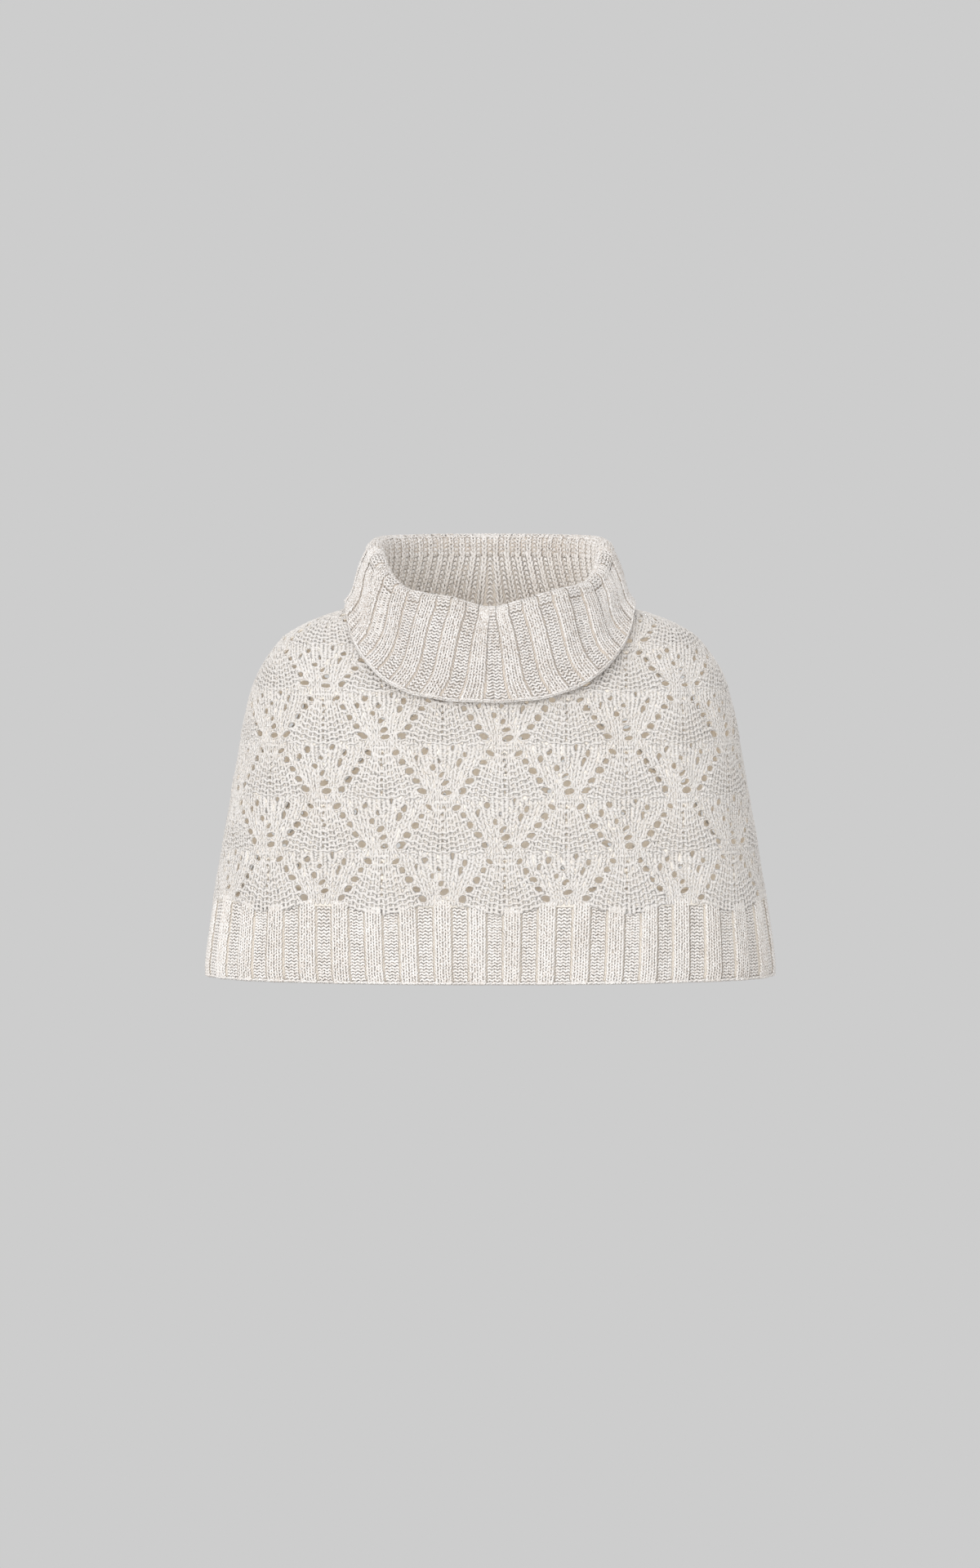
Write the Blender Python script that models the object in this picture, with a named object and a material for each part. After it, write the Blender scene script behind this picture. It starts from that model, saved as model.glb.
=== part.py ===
"""Pull-on knitted capelet with a folded roll neck, in the form it has when worn.

Lace front and back, a ribbed band along the hem, and a tall ribbed collar that stands up
round the neck and turns down over itself. The garment is hollow, with open neck and hem.

Frame: +X is to the right of the picture, the front faces -Y, +Z is up. The origin lies on
the body's middle line at the height of the neck base, where neck and shoulders hold it.
Tables are in millimetres, with heights above the hem's lower edge.
"""
import math

import bmesh
import bpy
from mathutils import Vector
from mathutils.geometry import delaunay_2d_cdt

MM = 0.001

# Driving sizes, in millimetres
HOLD_HEIGHT = 343.0         # neck base above the hem's lower edge: the origin
HEM_HEIGHT = 71.0           # ribbed band along the hem
LACE_WALL = 3.0
RIB_WALL = 3.0              # cloth under the ribs
SEAM_GAP = 0.3              # clearance between pieces that are sewn together
SECTION_POWER = 2.25        # roundness of the body's horizontal sections

# Body sections, outside of the cloth
BODY_SECTIONS = (
    # height, half_width, front_depth, back_depth
    (0.0, 265.0, 140.0, 138.0),
    (12.0, 265.6, 140.0, 138.0),
    (73.0, 257.0, 137.0, 136.0),
    (149.0, 244.2, 132.5, 132.0),
    (225.0, 231.0, 123.0, 126.0),
    (256.0, 224.6, 114.5, 120.5),
    (271.0, 220.2, 107.5, 116.5),
    (286.0, 213.6, 98.5, 110.5),
    (301.0, 204.0, 88.0, 102.5),
    (316.0, 191.0, 77.0, 92.5),
    (324.0, 178.5, 71.5, 87.0),
    (332.0, 161.5, 66.0, 81.0),
    (339.5, 139.5, 60.5, 75.0),
    (348.0, 110.0, 54.0, 66.0),
    (356.0, 78.0, 46.0, 56.0),
)

# Neckline, where the collar is sewn on: its plan, laid on the body
NECK_HALF_WIDTH = 112.0
NECK_FRONT_DEPTH = 101.0
NECK_BACK_DEPTH = 80.0
NECK_POWER = 2.5

# Lace: one fan repeat, the next row of fans set half a repeat aside
REPEAT_WIDTH = 114.0
HALF_REPEAT_HEIGHT = 50.3
LACE_OFFSET = 13.5          # nearest fan spine, right of the centre front
LACE_ROWS = 6               # rows of fan tips, the lowest on the hem band
GRID_STEP = 22.0            # spacing of the wall's own points
EDGE_STEP = 24.0            # spacing along a panel's edges
EYELET_MARGIN = 3.5         # least cloth between an eyelet and an edge
EYELET_CLEAR = 9.0          # least distance from an eyelet's middle to a wall point
EYELET_SIDES = 4

# Largest eyelets of one repeat, from the tip where two fans meet
EYELETS = (
    # across, up, half_width, half_height
    (-19.0, 7.7, 3.9, 3.6),
    (19.0, 7.7, 3.9, 3.6),
    (3.0, 6.4, 3.7, 3.1),
    (1.5, 14.6, 3.6, 3.1),
    (-0.8, 22.6, 3.4, 3.1),
)

# Ribs of three stitches up, three down
HEM_RIBS = 20               # on the front, and as many on the back
HEM_RIB_RISE = 2.0
HEM_RIB_PHASE = -3.4        # left edge of the rib valley nearest the centre front
HEM_RIB_LEAN = 7.0          # how far the ribs lean towards the centre on their way down
HEM_LEVELS = (0.0, 12.0, 40.0, HEM_HEIGHT)
COLLAR_RIBS = 24
COLLAR_RIB_RISE = 1.8
COLLAR_RIB_PHASE = -2.7
COLLAR_RIB_BOW = 4.0        # sideways bow of the turned-down ribs
STAND_RIBS = 54
STAND_RIB_RISE = 1.2
RIB_POINTS = (
    # place in the rib's width, share of its rise
    (0.04, 0.0),
    (0.44, 0.0),
    (0.54, 1.0),
    (0.94, 1.0),
)

NARROW_RIB_POINTS = (
    (0.25, 0.0),
    (0.75, 1.0),
)
HEM_END = 5.0               # no rib edge lies nearer than this to a side seam

# Collar rim, the top of the fold: its plan and height
RIM_HALF_WIDTH = 98.0
RIM_FRONT_DEPTH = 86.0
RIM_BACK_DEPTH = 75.0
RIM_POWER = 2.0
RIM_HEIGHTS = (
    # degrees from centre front, height on the left, height on the right
    (0.0, 347.0, 347.0),
    (19.0, 355.5, 354.5),
    (35.0, 359.0, 362.0),
    (49.0, 364.0, 365.5),
    (61.0, 375.0, 371.0),
    (75.0, 391.0, 385.0),
    (88.0, 402.0, 400.5),
    (105.0, 407.0, 406.5),
    (140.0, 408.0, 408.0),
    (180.0, 408.0, 408.0),
)
FOLD_HOLLOW = 4.0           # radius of the hollow under the fold
FOLD_TURNS = 4              # faces over the rim
INNER_LEG = 11.0            # wide rib below the fold on the inside
NECK_GAP = 0.8              # the standing collar over the curved neckline
LEG_GAP = 0.5               # the standing collar under the wide rib
STAND_BOW = 3.0             # how far the standing collar bows inwards
STAND_LEVELS = (0.0, 0.35, 0.7, 1.0)

# Lower edge of the turned-down collar
EDGE_HALF_WIDTH = 135.5
EDGE_FRONT_DEPTH = 124.0
EDGE_BACK_DEPTH = 108.0
EDGE_POWER = 3.1
EDGE_HEIGHTS = (
    # degrees from centre front, height on the left, height on the right
    (0.0, 261.0, 261.0),
    (15.0, 265.0, 266.0),
    (30.0, 274.0, 277.0),
    (45.0, 290.0, 293.0),
    (60.0, 309.0, 311.0),
    (75.0, 328.0, 330.0),
    (90.0, 341.0, 341.0),
    (120.0, 336.0, 336.0),
    (150.0, 325.0, 325.0),
    (180.0, 321.0, 321.0),
)
EDGE_STAND_OFF = 5.5        # height of the collar's edge over the shoulders

# How the turned-down collar swings out from the rim to its lower edge
TURNOVER_PROFILE = (
    # share of the way down, share of the way out
    (0.0, 0.0),
    (0.18, 0.22),
    (0.42, 0.42),
    (0.78, 0.66),
    (1.0, 1.0),
)
TURNOVER_LEVELS = (0.15, 0.35, 0.58, 0.8, 1.0)

# Soft folds of the turned-down collar
COLLAR_FOLDS = (
    # degrees from centre front (left below zero), half spread, share of the way down, depth
    (-48.0, 13.0, 0.45, 3.2),
    (-74.0, 11.0, 0.55, 2.6),
    (-26.0, 12.0, 0.35, -1.6),
    (40.0, 12.0, 0.40, 1.8),
    (67.0, 10.0, 0.55, 2.8),
    (118.0, 16.0, 0.50, 2.4),
    (163.0, 18.0, 0.45, 2.8),
    (-132.0, 17.0, 0.50, 2.6),
)
COLLAR_FOLD_REACH = 0.42    # share of the collar's depth over which a fold fades

# Shallow drape of the body: long soft hollows that run down from the shoulders
DRAPE_HOLLOWS = (
    # side (-1 front, 1 back), place at the top, place at the hem, half spread, depth
    (-1, -118.0, -176.0, 46.0, 2.6),
    (-1, 126.0, 188.0, 42.0, 2.2),
    (1, -96.0, -150.0, 50.0, 3.0),
    (1, 4.0, 12.0, 44.0, 2.4),
    (1, 112.0, 170.0, 46.0, 2.8),
)
DRAPE_TOP = 300.0           # the hollows fade out here
DRAPE_ONSET = 3.0           # how quickly they deepen below that

# Steps of the curves that the sizes above are laid on
CURVE_STEPS = 56            # points of a quarter section
HEIGHT_STEP = 4.0           # steps up the cloth
NORMAL_STEP = 2.0           # step over which a slope of the body is read
HALVINGS = 30               # of the search for the body's height over a plan point
RING_STEPS = 288            # points once round the collar
ANGLE_STEP = math.radians(0.8)
STATION_STEP = 0.02
LEG_END, FOLD_END, EDGE_END = 1.0, 2.0, 3.0     # stations along the collar's cloth
JOIN_REACH = 1e-5           # flat points nearer than this are one point
WALL_ANGLE = math.radians(50.0)

FINISHES = {
    # name: colour, roughness
    "lace_yarn": ((0.855, 0.835, 0.790, 1.0), 0.92),
    "hem_rib_yarn": ((0.780, 0.745, 0.705, 1.0), 0.94),
    "collar_rib_yarn": ((0.780, 0.745, 0.705, 1.0), 0.94),
    "collar_inside_yarn": ((0.700, 0.660, 0.610, 1.0), 0.94),
}


def table_value(rows, place, column):
    """One column of a table at a place, on a smooth curve through its rows."""
    if place <= rows[0][0]:
        return rows[0][column]
    if place >= rows[-1][0]:
        return rows[-1][column]
    k = next(i for i in range(len(rows) - 1) if place <= rows[i + 1][0])

    def slope(i):
        low = max(i - 1, 0)
        high = min(i + 1, len(rows) - 1)
        return (rows[high][column] - rows[low][column]) / (rows[high][0] - rows[low][0])

    span = rows[k + 1][0] - rows[k][0]
    t = (place - rows[k][0]) / span
    start = rows[k][column] * (1 + 2 * t) * (1 - t) ** 2 + slope(k) * span * t * (1 - t) ** 2
    end = rows[k + 1][column] * (3 - 2 * t) * t ** 2 - slope(k + 1) * span * (1 - t) * t ** 2
    return start + end


def plan_point(half_width, front_depth, back_depth, power, angle):
    """Point of a rounded ring; the angle runs from centre front (0) to the right side."""
    depth = front_depth if math.cos(angle) > 0 else back_depth
    x = half_width * math.copysign(abs(math.sin(angle)) ** (2 / power), math.sin(angle))
    y = -depth * math.copysign(abs(math.cos(angle)) ** (2 / power), math.cos(angle))
    return Vector((x, y))


def section_size(height):
    """Half width, front depth and back depth of the body at a height."""
    return tuple(table_value(BODY_SECTIONS, height, column) for column in (1, 2, 3))


QUARTERS = {}


def quarter_section(side, height):
    """Lengths and points from the centre line to the side seam, on front (-1) or back (1)."""
    key = (side, round(height, 2))
    if key not in QUARTERS:
        half_width, front_depth, back_depth = section_size(height)
        depth = front_depth if side < 0 else back_depth
        rows = []
        length = 0.0
        for i in range(CURVE_STEPS + 1):
            angle = math.pi / 2 * i / CURVE_STEPS
            point = plan_point(half_width, depth, depth, SECTION_POWER, angle)
            if rows:
                length += (point - rows[-1][1]).length
            rows.append((length, point))
        QUARTERS[key] = rows
    return QUARTERS[key]


def seam_length(side, height):
    """Length round the cloth from the centre line to the side seam."""
    return quarter_section(side, height)[-1][0]


def smooth_bump(distance):
    """One at the middle, falling softly to nought at a distance of one."""
    return (1 - distance ** 2) ** 2 if abs(distance) < 1 else 0.0


def drape(side, across, height):
    """How far the cloth lies in from its plain section, in the soft hollows."""
    total = 0.0
    down = max(0.0, 1 - height / DRAPE_TOP)
    for hollow_side, top, hem, spread, depth in DRAPE_HOLLOWS:
        if hollow_side == side:
            middle = top + (hem - top) * down
            fade = min(1.0, DRAPE_ONSET * down)
            total += depth * fade * smooth_bump((across - middle) / spread)
    return total


def bare_point(side, across, height):
    """Point of the outer surface, at a length across from the centre line."""
    rows = quarter_section(side, height)
    want = min(abs(across), rows[-1][0])
    k = 0
    while rows[k + 1][0] < want:
        k += 1
    t = (want - rows[k][0]) / (rows[k + 1][0] - rows[k][0])
    flat = rows[k][1].lerp(rows[k + 1][1], t)
    return Vector((math.copysign(flat.x, across), side * abs(flat.y), height))


def body_point(side, across, height, inwards=0.0):
    """Point of the body at a depth inside its outer surface, and hollowed by the drape."""
    reach = seam_length(side, height) - NORMAL_STEP
    middle = max(-reach, min(reach, across))
    right = bare_point(side, middle + NORMAL_STEP, height)
    left = bare_point(side, middle - NORMAL_STEP, height)
    share = across / seam_length(side, height)
    up_across = share * seam_length(side, height + NORMAL_STEP)
    down_across = share * seam_length(side, height - NORMAL_STEP)
    rise = bare_point(side, up_across, height + NORMAL_STEP) \
        - bare_point(side, down_across, height - NORMAL_STEP)
    run = right - left
    if abs(across) > reach:
        run = Vector((0.0, -side * math.copysign(1.0, across), 0.0))
    outwards = run.cross(rise).normalized() * -side
    depth = inwards + drape(side, across, height)
    return bare_point(side, across, height) - outwards * depth


def cloth_heights(side):
    """Pairs of length up the cloth and height, on the line halfway to the side seam."""
    pairs = [(HEM_HEIGHT, HEM_HEIGHT)]
    height = HEM_HEIGHT
    last = bare_point(side, seam_length(side, height) / 2, height)
    while height < BODY_SECTIONS[-2][0]:
        height += HEIGHT_STEP
        point = bare_point(side, seam_length(side, height) / 2, height)
        pairs.append((pairs[-1][0] + (point - last).length, height))
        last = point
    return pairs


def height_at(pairs, up):
    """Height of a length up the cloth."""
    for (low_up, low), (high_up, high) in zip(pairs, pairs[1:]):
        if up <= high_up:
            return low + (high - low) * (up - low_up) / (high_up - low_up)
    return pairs[-1][1]


def up_at(pairs, height):
    """Length up the cloth at a height."""
    for (low_up, low), (high_up, high) in zip(pairs, pairs[1:]):
        if height <= high:
            return low_up + (high_up - low_up) * (height - low) / (high - low)
    return pairs[-1][0]


def body_height_over(point):
    """Height at which the body's outer surface passes through a plan point."""
    low = BODY_SECTIONS[0][0]
    high = BODY_SECTIONS[-1][0]
    for _ in range(HALVINGS):
        middle = (low + high) / 2
        half_width, front_depth, back_depth = section_size(middle)
        depth = front_depth if point.y < 0 else back_depth
        reach = abs(point.x / half_width) ** SECTION_POWER + abs(point.y / depth) ** SECTION_POWER
        if reach < 1:
            low = middle
        else:
            high = middle
    return low


def neck_point(angle):
    """Point of the neckline on the body's outer surface."""
    flat = plan_point(NECK_HALF_WIDTH, NECK_FRONT_DEPTH, NECK_BACK_DEPTH, NECK_POWER, angle)
    return Vector((flat.x, flat.y, body_height_over(flat)))


def across_at(side, point):
    """Length round the cloth from the centre line to a point of the outer surface."""
    rows = quarter_section(side, point.z)
    want = abs(point.x)
    for (low_length, low), (high_length, high) in zip(rows, rows[1:]):
        if want <= high.x:
            share = (want - low.x) / (high.x - low.x)
            return math.copysign(low_length + (high_length - low_length) * share, point.x)
    return math.copysign(rows[-1][0], point.x)


def panel_outline(side, pairs):
    """Closed outline of a lace panel, as lengths across and up the flat cloth."""
    half_gap = SEAM_GAP / 2
    outline = []
    bottom = HEM_HEIGHT + half_gap
    half = seam_length(side, bottom) - half_gap
    count = round(2 * half / EDGE_STEP)
    for i in range(count):
        outline.append((-half + 2 * half * i / count, bottom))
    corner = neck_point(math.pi / 2)
    top = up_at(pairs, corner.z)
    count = round((top - bottom) / EDGE_STEP)
    for i in range(count + 1):
        up = bottom + (top - bottom) * i / count
        outline.append((seam_length(side, height_at(pairs, up)) - half_gap, up))
    count = round(4 * NECK_HALF_WIDTH / EDGE_STEP)
    for i in range(1, count):
        turn = math.pi * i / count
        angle = math.pi / 2 - turn if side < 0 else math.pi / 2 + turn
        point = neck_point(angle)
        outline.append((across_at(side, point), up_at(pairs, point.z)))
    count = round((top - bottom) / EDGE_STEP)
    for i in range(count):
        up = top - (top - bottom) * i / count
        outline.append((half_gap - seam_length(side, height_at(pairs, up)), up))
    return [Vector(point) for point in outline]


def inside(polygon, point):
    """Whether a flat point lies inside a closed outline."""
    odd = False
    for a, b in zip(polygon, polygon[1:] + polygon[:1]):
        if (a.y > point.y) != (b.y > point.y):
            if point.x < a.x + (b.x - a.x) * (point.y - a.y) / (b.y - a.y):
                odd = not odd
    return odd


def edge_distance(polygon, point):
    """Distance from a flat point to the nearest edge of an outline."""
    best = math.inf
    for a, b in zip(polygon, polygon[1:] + polygon[:1]):
        along = b - a
        t = max(0.0, min(1.0, (point - a).dot(along) / along.length_squared))
        best = min(best, (a + along * t - point).length)
    return best


def eyelet_outline(middle, half_width, half_height):
    """Corners of one eyelet, in order."""
    turns = [2 * math.pi * k / EYELET_SIDES for k in range(EYELET_SIDES)]
    return [middle + Vector((half_width * math.cos(t), half_height * math.sin(t))) for t in turns]


def lace_eyelets(outline):
    """Middles and corners of the eyelets that a panel has room for."""
    reach = max(point.x for point in outline)
    eyelets = []
    for row in range(LACE_ROWS):
        shift = LACE_OFFSET + REPEAT_WIDTH / 2 * ((row + 1) % 2)
        up = HEM_HEIGHT + HALF_REPEAT_HEIGHT * row
        first = math.floor((-reach - shift) / REPEAT_WIDTH)
        last = math.ceil((reach - shift) / REPEAT_WIDTH)
        for k in range(first, last + 1):
            tip = Vector((shift + REPEAT_WIDTH * k, up))
            for across, rise, half_width, half_height in EYELETS:
                middle = tip + Vector((across, rise))
                room = half_width + EYELET_MARGIN
                if inside(outline, middle) and edge_distance(outline, middle) > room:
                    eyelets.append((middle, eyelet_outline(middle, half_width, half_height)))
    return eyelets


def wall_points(outline, eyelets):
    """Points between the edges and the eyelets that carry the wall's own curve."""
    half = max(point.x for point in outline)
    top = max(point.y for point in outline)
    columns = math.ceil(half / GRID_STEP)
    rows = math.ceil((top - HEM_HEIGHT) / GRID_STEP)
    points = []
    for row in range(rows + 1):
        for column in range(-columns, columns + 1):
            across = (column + 0.5 * (row % 2)) * GRID_STEP
            point = Vector((across, HEM_HEIGHT + (row + 0.5) * GRID_STEP))
            clear = all((point - middle).length > EYELET_CLEAR for middle, _ in eyelets)
            if clear and inside(outline, point):
                if edge_distance(outline, point) > GRID_STEP / 3:
                    points.append(point)
    return points


def lace_panel(name, side):
    """Front or back of the body: one curved wall with its eyelets cut through."""
    pairs = cloth_heights(side)
    outline = panel_outline(side, pairs)
    eyelets = lace_eyelets(outline)
    flat = []
    edges = []
    for ring in [outline] + [corners for _, corners in eyelets]:
        first = len(flat)
        flat += ring
        edges += [(first + i, first + (i + 1) % len(ring)) for i in range(len(ring))]
    flat += wall_points(outline, eyelets)
    flat, _, faces, _, _, _ = delaunay_2d_cdt(flat, edges, [], 0, JOIN_REACH)
    kept = []
    for face in faces:
        middle = sum((flat[i] for i in face), Vector((0.0, 0.0))) / len(face)
        in_eyelet = any((middle - centre).length < EYELET_CLEAR and inside(ring, middle)
                        for centre, ring in eyelets)
        if inside(outline, middle) and not in_eyelet:
            kept.append(tuple(face))
    outer = []
    inner = []
    for point in flat:
        height = height_at(pairs, point.y)
        outer.append(body_point(side, point.x, height))
        inner.append(body_point(side, point.x, height, LACE_WALL))
    return solid(name, outer + inner, closed_wall(len(flat), kept), "lace_yarn")


def closed_wall(count, faces):
    """Faces of both sides of a wall, and of the rims round its edges and holes."""
    directed = {(face[i], face[(i + 1) % len(face)]) for face in faces for i in range(len(face))}
    rims = [(b, a, a + count, b + count) for a, b in directed if (b, a) not in directed]
    backs = [tuple(i + count for i in reversed(face)) for face in faces]
    return faces + backs + rims


def solid(name, points, faces, finish):
    """One closed body in its own object, faces out, with its own material."""
    mesh = bpy.data.meshes.new(name)
    body = bmesh.new()
    corners = [body.verts.new((p - Vector((0, 0, HOLD_HEIGHT))) * MM) for p in points]
    for face in faces:
        body.faces.new([corners[i] for i in face])
    bmesh.ops.delete(body, geom=[v for v in corners if not v.link_faces], context="VERTS")
    bmesh.ops.triangulate(body, faces=body.faces[:])
    bmesh.ops.recalc_face_normals(body, faces=body.faces[:])
    body.to_mesh(mesh)
    body.free()
    mesh.shade_smooth()
    mesh.set_sharp_from_angle(angle=WALL_ANGLE)
    piece = bpy.data.objects.new(name, mesh)
    bpy.context.collection.objects.link(piece)
    mesh.materials.append(yarn_material(name, finish))
    return piece


def yarn_material(name, finish):
    """Matt wool-blend yarn in one colour."""
    colour, roughness = FINISHES[finish]
    material = bpy.data.materials.new(f"{finish}_{name}")
    material.use_nodes = True
    shader = material.node_tree.nodes["Principled BSDF"]
    shader.inputs["Base Color"].default_value = colour
    shader.inputs["Roughness"].default_value = roughness
    shader.inputs["Metallic"].default_value = 0.0
    return material


def grid_faces(rows, closed):
    """Four-sided faces over rows of point numbers."""
    faces = []
    for low, high in zip(rows, rows[1:]):
        count = len(low)
        for i in range(count if closed else count - 1):
            j = (i + 1) % count
            faces.append((low[i], low[j], high[j], high[i]))
    return faces


def rim_faces(fine, coarse):
    """Triangles between two edges that run side by side, each with its own count of points."""
    faces = []
    i = j = 0
    while i < len(fine) - 1 or j < len(coarse) - 1:
        next_fine = (i + 1) / (len(fine) - 1)
        next_coarse = (j + 1) / (len(coarse) - 1)
        if next_fine <= next_coarse:
            faces.append((fine[i], fine[i + 1], coarse[j]))
            i += 1
        else:
            faces.append((fine[i], coarse[j + 1], coarse[j]))
            j += 1
    return faces


def ribbed_wall(name, ribbed, plain, closed, finish):
    """Wall with its ribs on one side and a plain face on the other, rows from edge to edge."""
    points = []
    sides = []
    for rows in (ribbed, plain):
        numbers = []
        for row in rows:
            numbers.append(list(range(len(points), len(points) + len(row))))
            points += row
        sides.append(numbers)
    fine, coarse = sides
    faces = grid_faces(fine, closed) + grid_faces(coarse, closed)
    for end in (0, -1):
        if closed:
            faces += rim_faces(fine[end] + fine[end][:1], coarse[end] + coarse[end][:1])
        else:
            faces += rim_faces(fine[end], coarse[end])
            faces += rim_faces([row[end] for row in fine], [row[end] for row in coarse])
    return solid(name, points, faces, finish)


def rib_places(ribs, phase, points):
    """Places and rises of the rib edges, as shares of the whole width from its left end."""
    places = [((rib + place) / ribs + phase, rise)
              for rib in range(-1, ribs + 1) for place, rise in points]
    return [(place, rise) for place, rise in places if 0.0 <= place < 1.0]


def hem_band(name, side):
    """Ribbed band under one lace panel, with straight ends at the side seams."""
    width = 2 * seam_length(side, HEM_HEIGHT / 2)
    end = HEM_END / width
    ribs = rib_places(HEM_RIBS, HEM_RIB_PHASE / width, RIB_POINTS)
    ribs = [(place, rise) for place, rise in ribs if end < place < 1 - end]
    ribs = [(0.0, 1.0)] + ribs + [(1.0, 1.0)]
    ribbed = []
    plain = []
    for level in HEM_LEVELS:
        height = min(level, HEM_HEIGHT - SEAM_GAP / 2)
        half = seam_length(side, height) - SEAM_GAP / 2
        row = []
        for place, rise in ribs:
            share = 2 * place - 1
            lean = HEM_RIB_LEAN * math.sin(math.pi * share) * (1 - level / HEM_HEIGHT)
            row.append((share * half - lean, HEM_RIB_RISE * (1 - rise)))
        ribbed.append([body_point(side, across, height, depth) for across, depth in row])
        depth = HEM_RIB_RISE + RIB_WALL
        plain.append([body_point(side, across, height, depth) for across, _ in row[::2]])
        if len(row) % 2 == 0:
            plain[-1].append(body_point(side, row[-1][0], height, depth))
    return ribbed_wall(name, ribbed, plain, False, "hem_rib_yarn")


def side_value(rows, angle):
    """Value of a table with a left and a right column, at an angle from centre front."""
    degrees = abs(math.degrees(math.atan2(math.sin(angle), math.cos(angle))))
    mirrored = ((-rows[1][0],) + rows[1][1:],) + rows
    return table_value(mirrored, degrees, 1 if math.sin(angle) < 0 else 2)


def rim_plan(angle):
    """Plan point of the neck side of the collar, below its fold."""
    return plan_point(RIM_HALF_WIDTH, RIM_FRONT_DEPTH, RIM_BACK_DEPTH, RIM_POWER, angle)


def edge_plan(angle):
    """Plan point of the turned-down collar's lower edge."""
    return plan_point(EDGE_HALF_WIDTH, EDGE_FRONT_DEPTH, EDGE_BACK_DEPTH, EDGE_POWER, angle)


def plan_outwards(plan, angle):
    """Outward direction of a plan ring at an angle."""
    along = plan(angle + ANGLE_STEP) - plan(angle - ANGLE_STEP)
    return Vector((along.y, -along.x)).normalized()


def ring_angles(plan):
    """Pairs of share of the girth and angle, once round a plan ring from its back; its girth."""
    pairs = [(0.0, -math.pi)]
    length = 0.0
    last = plan(-math.pi)
    for i in range(1, RING_STEPS + 1):
        angle = -math.pi + 2 * math.pi * i / RING_STEPS
        point = plan(angle)
        length += (point - last).length
        pairs.append((length, angle))
        last = point
    return [(reached / length, angle) for reached, angle in pairs], length


def angle_at(pairs, share):
    """Angle at a share of the girth."""
    share = share % 1.0
    for (low_share, low), (high_share, high) in zip(pairs, pairs[1:]):
        if share <= high_share:
            return low + (high - low) * (share - low_share) / (high_share - low_share)
    return pairs[-1][1]


def fold_size():
    """Outer radius of the fold over the rim."""
    return FOLD_HOLLOW + RIB_WALL + COLLAR_RIB_RISE


def edge_height(angle):
    """Height of the collar's lower edge, resting just clear of the shoulders."""
    outwards = plan_outwards(edge_plan, angle)
    hidden = edge_plan(angle) - outwards * (RIB_WALL + COLLAR_RIB_RISE)
    resting = body_height_over(hidden) + EDGE_STAND_OFF
    return max(side_value(EDGE_HEIGHTS, angle), resting)


def fold_depth(angle, down):
    """How far the soft folds press the turned-down collar in."""
    degrees = math.degrees(math.atan2(math.sin(angle), math.cos(angle)))
    total = 0.0
    for middle, spread, level, depth in COLLAR_FOLDS:
        apart = (degrees - middle + 180.0) % 360.0 - 180.0
        total += depth * smooth_bump(apart / spread) * smooth_bump((down - level) / COLLAR_FOLD_REACH)
    return total


def crest_point(angle, station):
    """Point on the collar's rib crests, from the inner leg over the fold to the lower edge."""
    inner = rim_plan(angle)
    outwards = plan_outwards(rim_plan, angle)
    middle_height = side_value(RIM_HEIGHTS, angle) - fold_size()
    if station <= LEG_END:
        return Vector((*inner, middle_height - INNER_LEG * (LEG_END - station)))
    if station <= FOLD_END:
        turn = math.pi * (station - LEG_END)
        flat = inner + outwards * fold_size() * (1 - math.cos(turn))
        return Vector((*flat, middle_height + fold_size() * math.sin(turn)))
    down = station - FOLD_END
    start = inner + outwards * fold_size() * 2
    flat = start.lerp(edge_plan(angle), table_value(TURNOVER_PROFILE, down, 1))
    flat -= outwards * fold_depth(angle, down)
    height = middle_height + (edge_height(angle) - middle_height) * down
    return Vector((*flat, height))


def collar_point(angle, station, depth):
    """Point of the collar at a depth under its rib crests."""
    run = crest_point(angle + ANGLE_STEP, station) - crest_point(angle - ANGLE_STEP, station)
    before = max(0.0, station - STATION_STEP)
    after = min(EDGE_END, station + STATION_STEP)
    rise = crest_point(angle, after) - crest_point(angle, before)
    outwards = rise.cross(run).normalized()
    return crest_point(angle, station) - outwards * depth


def turned_collar():
    """The wide-ribbed stretch: a short leg inside, the fold, and the turned-down outside."""
    halfway = (FOLD_END + EDGE_END) / 2
    pairs, girth = ring_angles(lambda angle: crest_point(angle, halfway).xy)
    phase = 0.5 + COLLAR_RIB_PHASE / girth
    ribs = rib_places(COLLAR_RIBS, phase % (1 / COLLAR_RIBS), RIB_POINTS)
    fold = [LEG_END + i / FOLD_TURNS for i in range(FOLD_TURNS + 1)]
    stations = [0.0] + fold + [FOLD_END + level for level in TURNOVER_LEVELS]
    ribbed = []
    plain = []
    for station in stations:
        down = max(0.0, station - FOLD_END)
        row = []
        for place, rise in ribs:
            angle = angle_at(pairs, place)
            bow = COLLAR_RIB_BOW / girth * math.sin(2 * angle) * math.sin(math.pi * down)
            row.append((angle_at(pairs, place - bow), COLLAR_RIB_RISE * (1 - rise)))
        ribbed.append([collar_point(angle, station, depth) for angle, depth in row])
        depth = COLLAR_RIB_RISE + RIB_WALL
        plain.append([collar_point(angle, station, depth) for angle, _ in row[::2]])
    return ribbed_wall("collar_turnover", ribbed, plain, True, "collar_rib_yarn")


def stand_point(angle, level, depth):
    """Point of the standing collar at a level up it and a depth under its rib crests."""
    base = neck_point(angle)
    outwards = plan_outwards(rim_plan, angle)
    base_flat = base.xy - outwards * (RIB_WALL + STAND_RIB_RISE)
    top = crest_point(angle, 0.0)
    flat = base_flat.lerp(top.xy, level)
    flat += outwards * (depth - STAND_BOW * math.sin(math.pi * level))
    low = base.z + NECK_GAP
    high = top.z - LEG_GAP
    return Vector((*flat, low + (high - low) * level))


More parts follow.
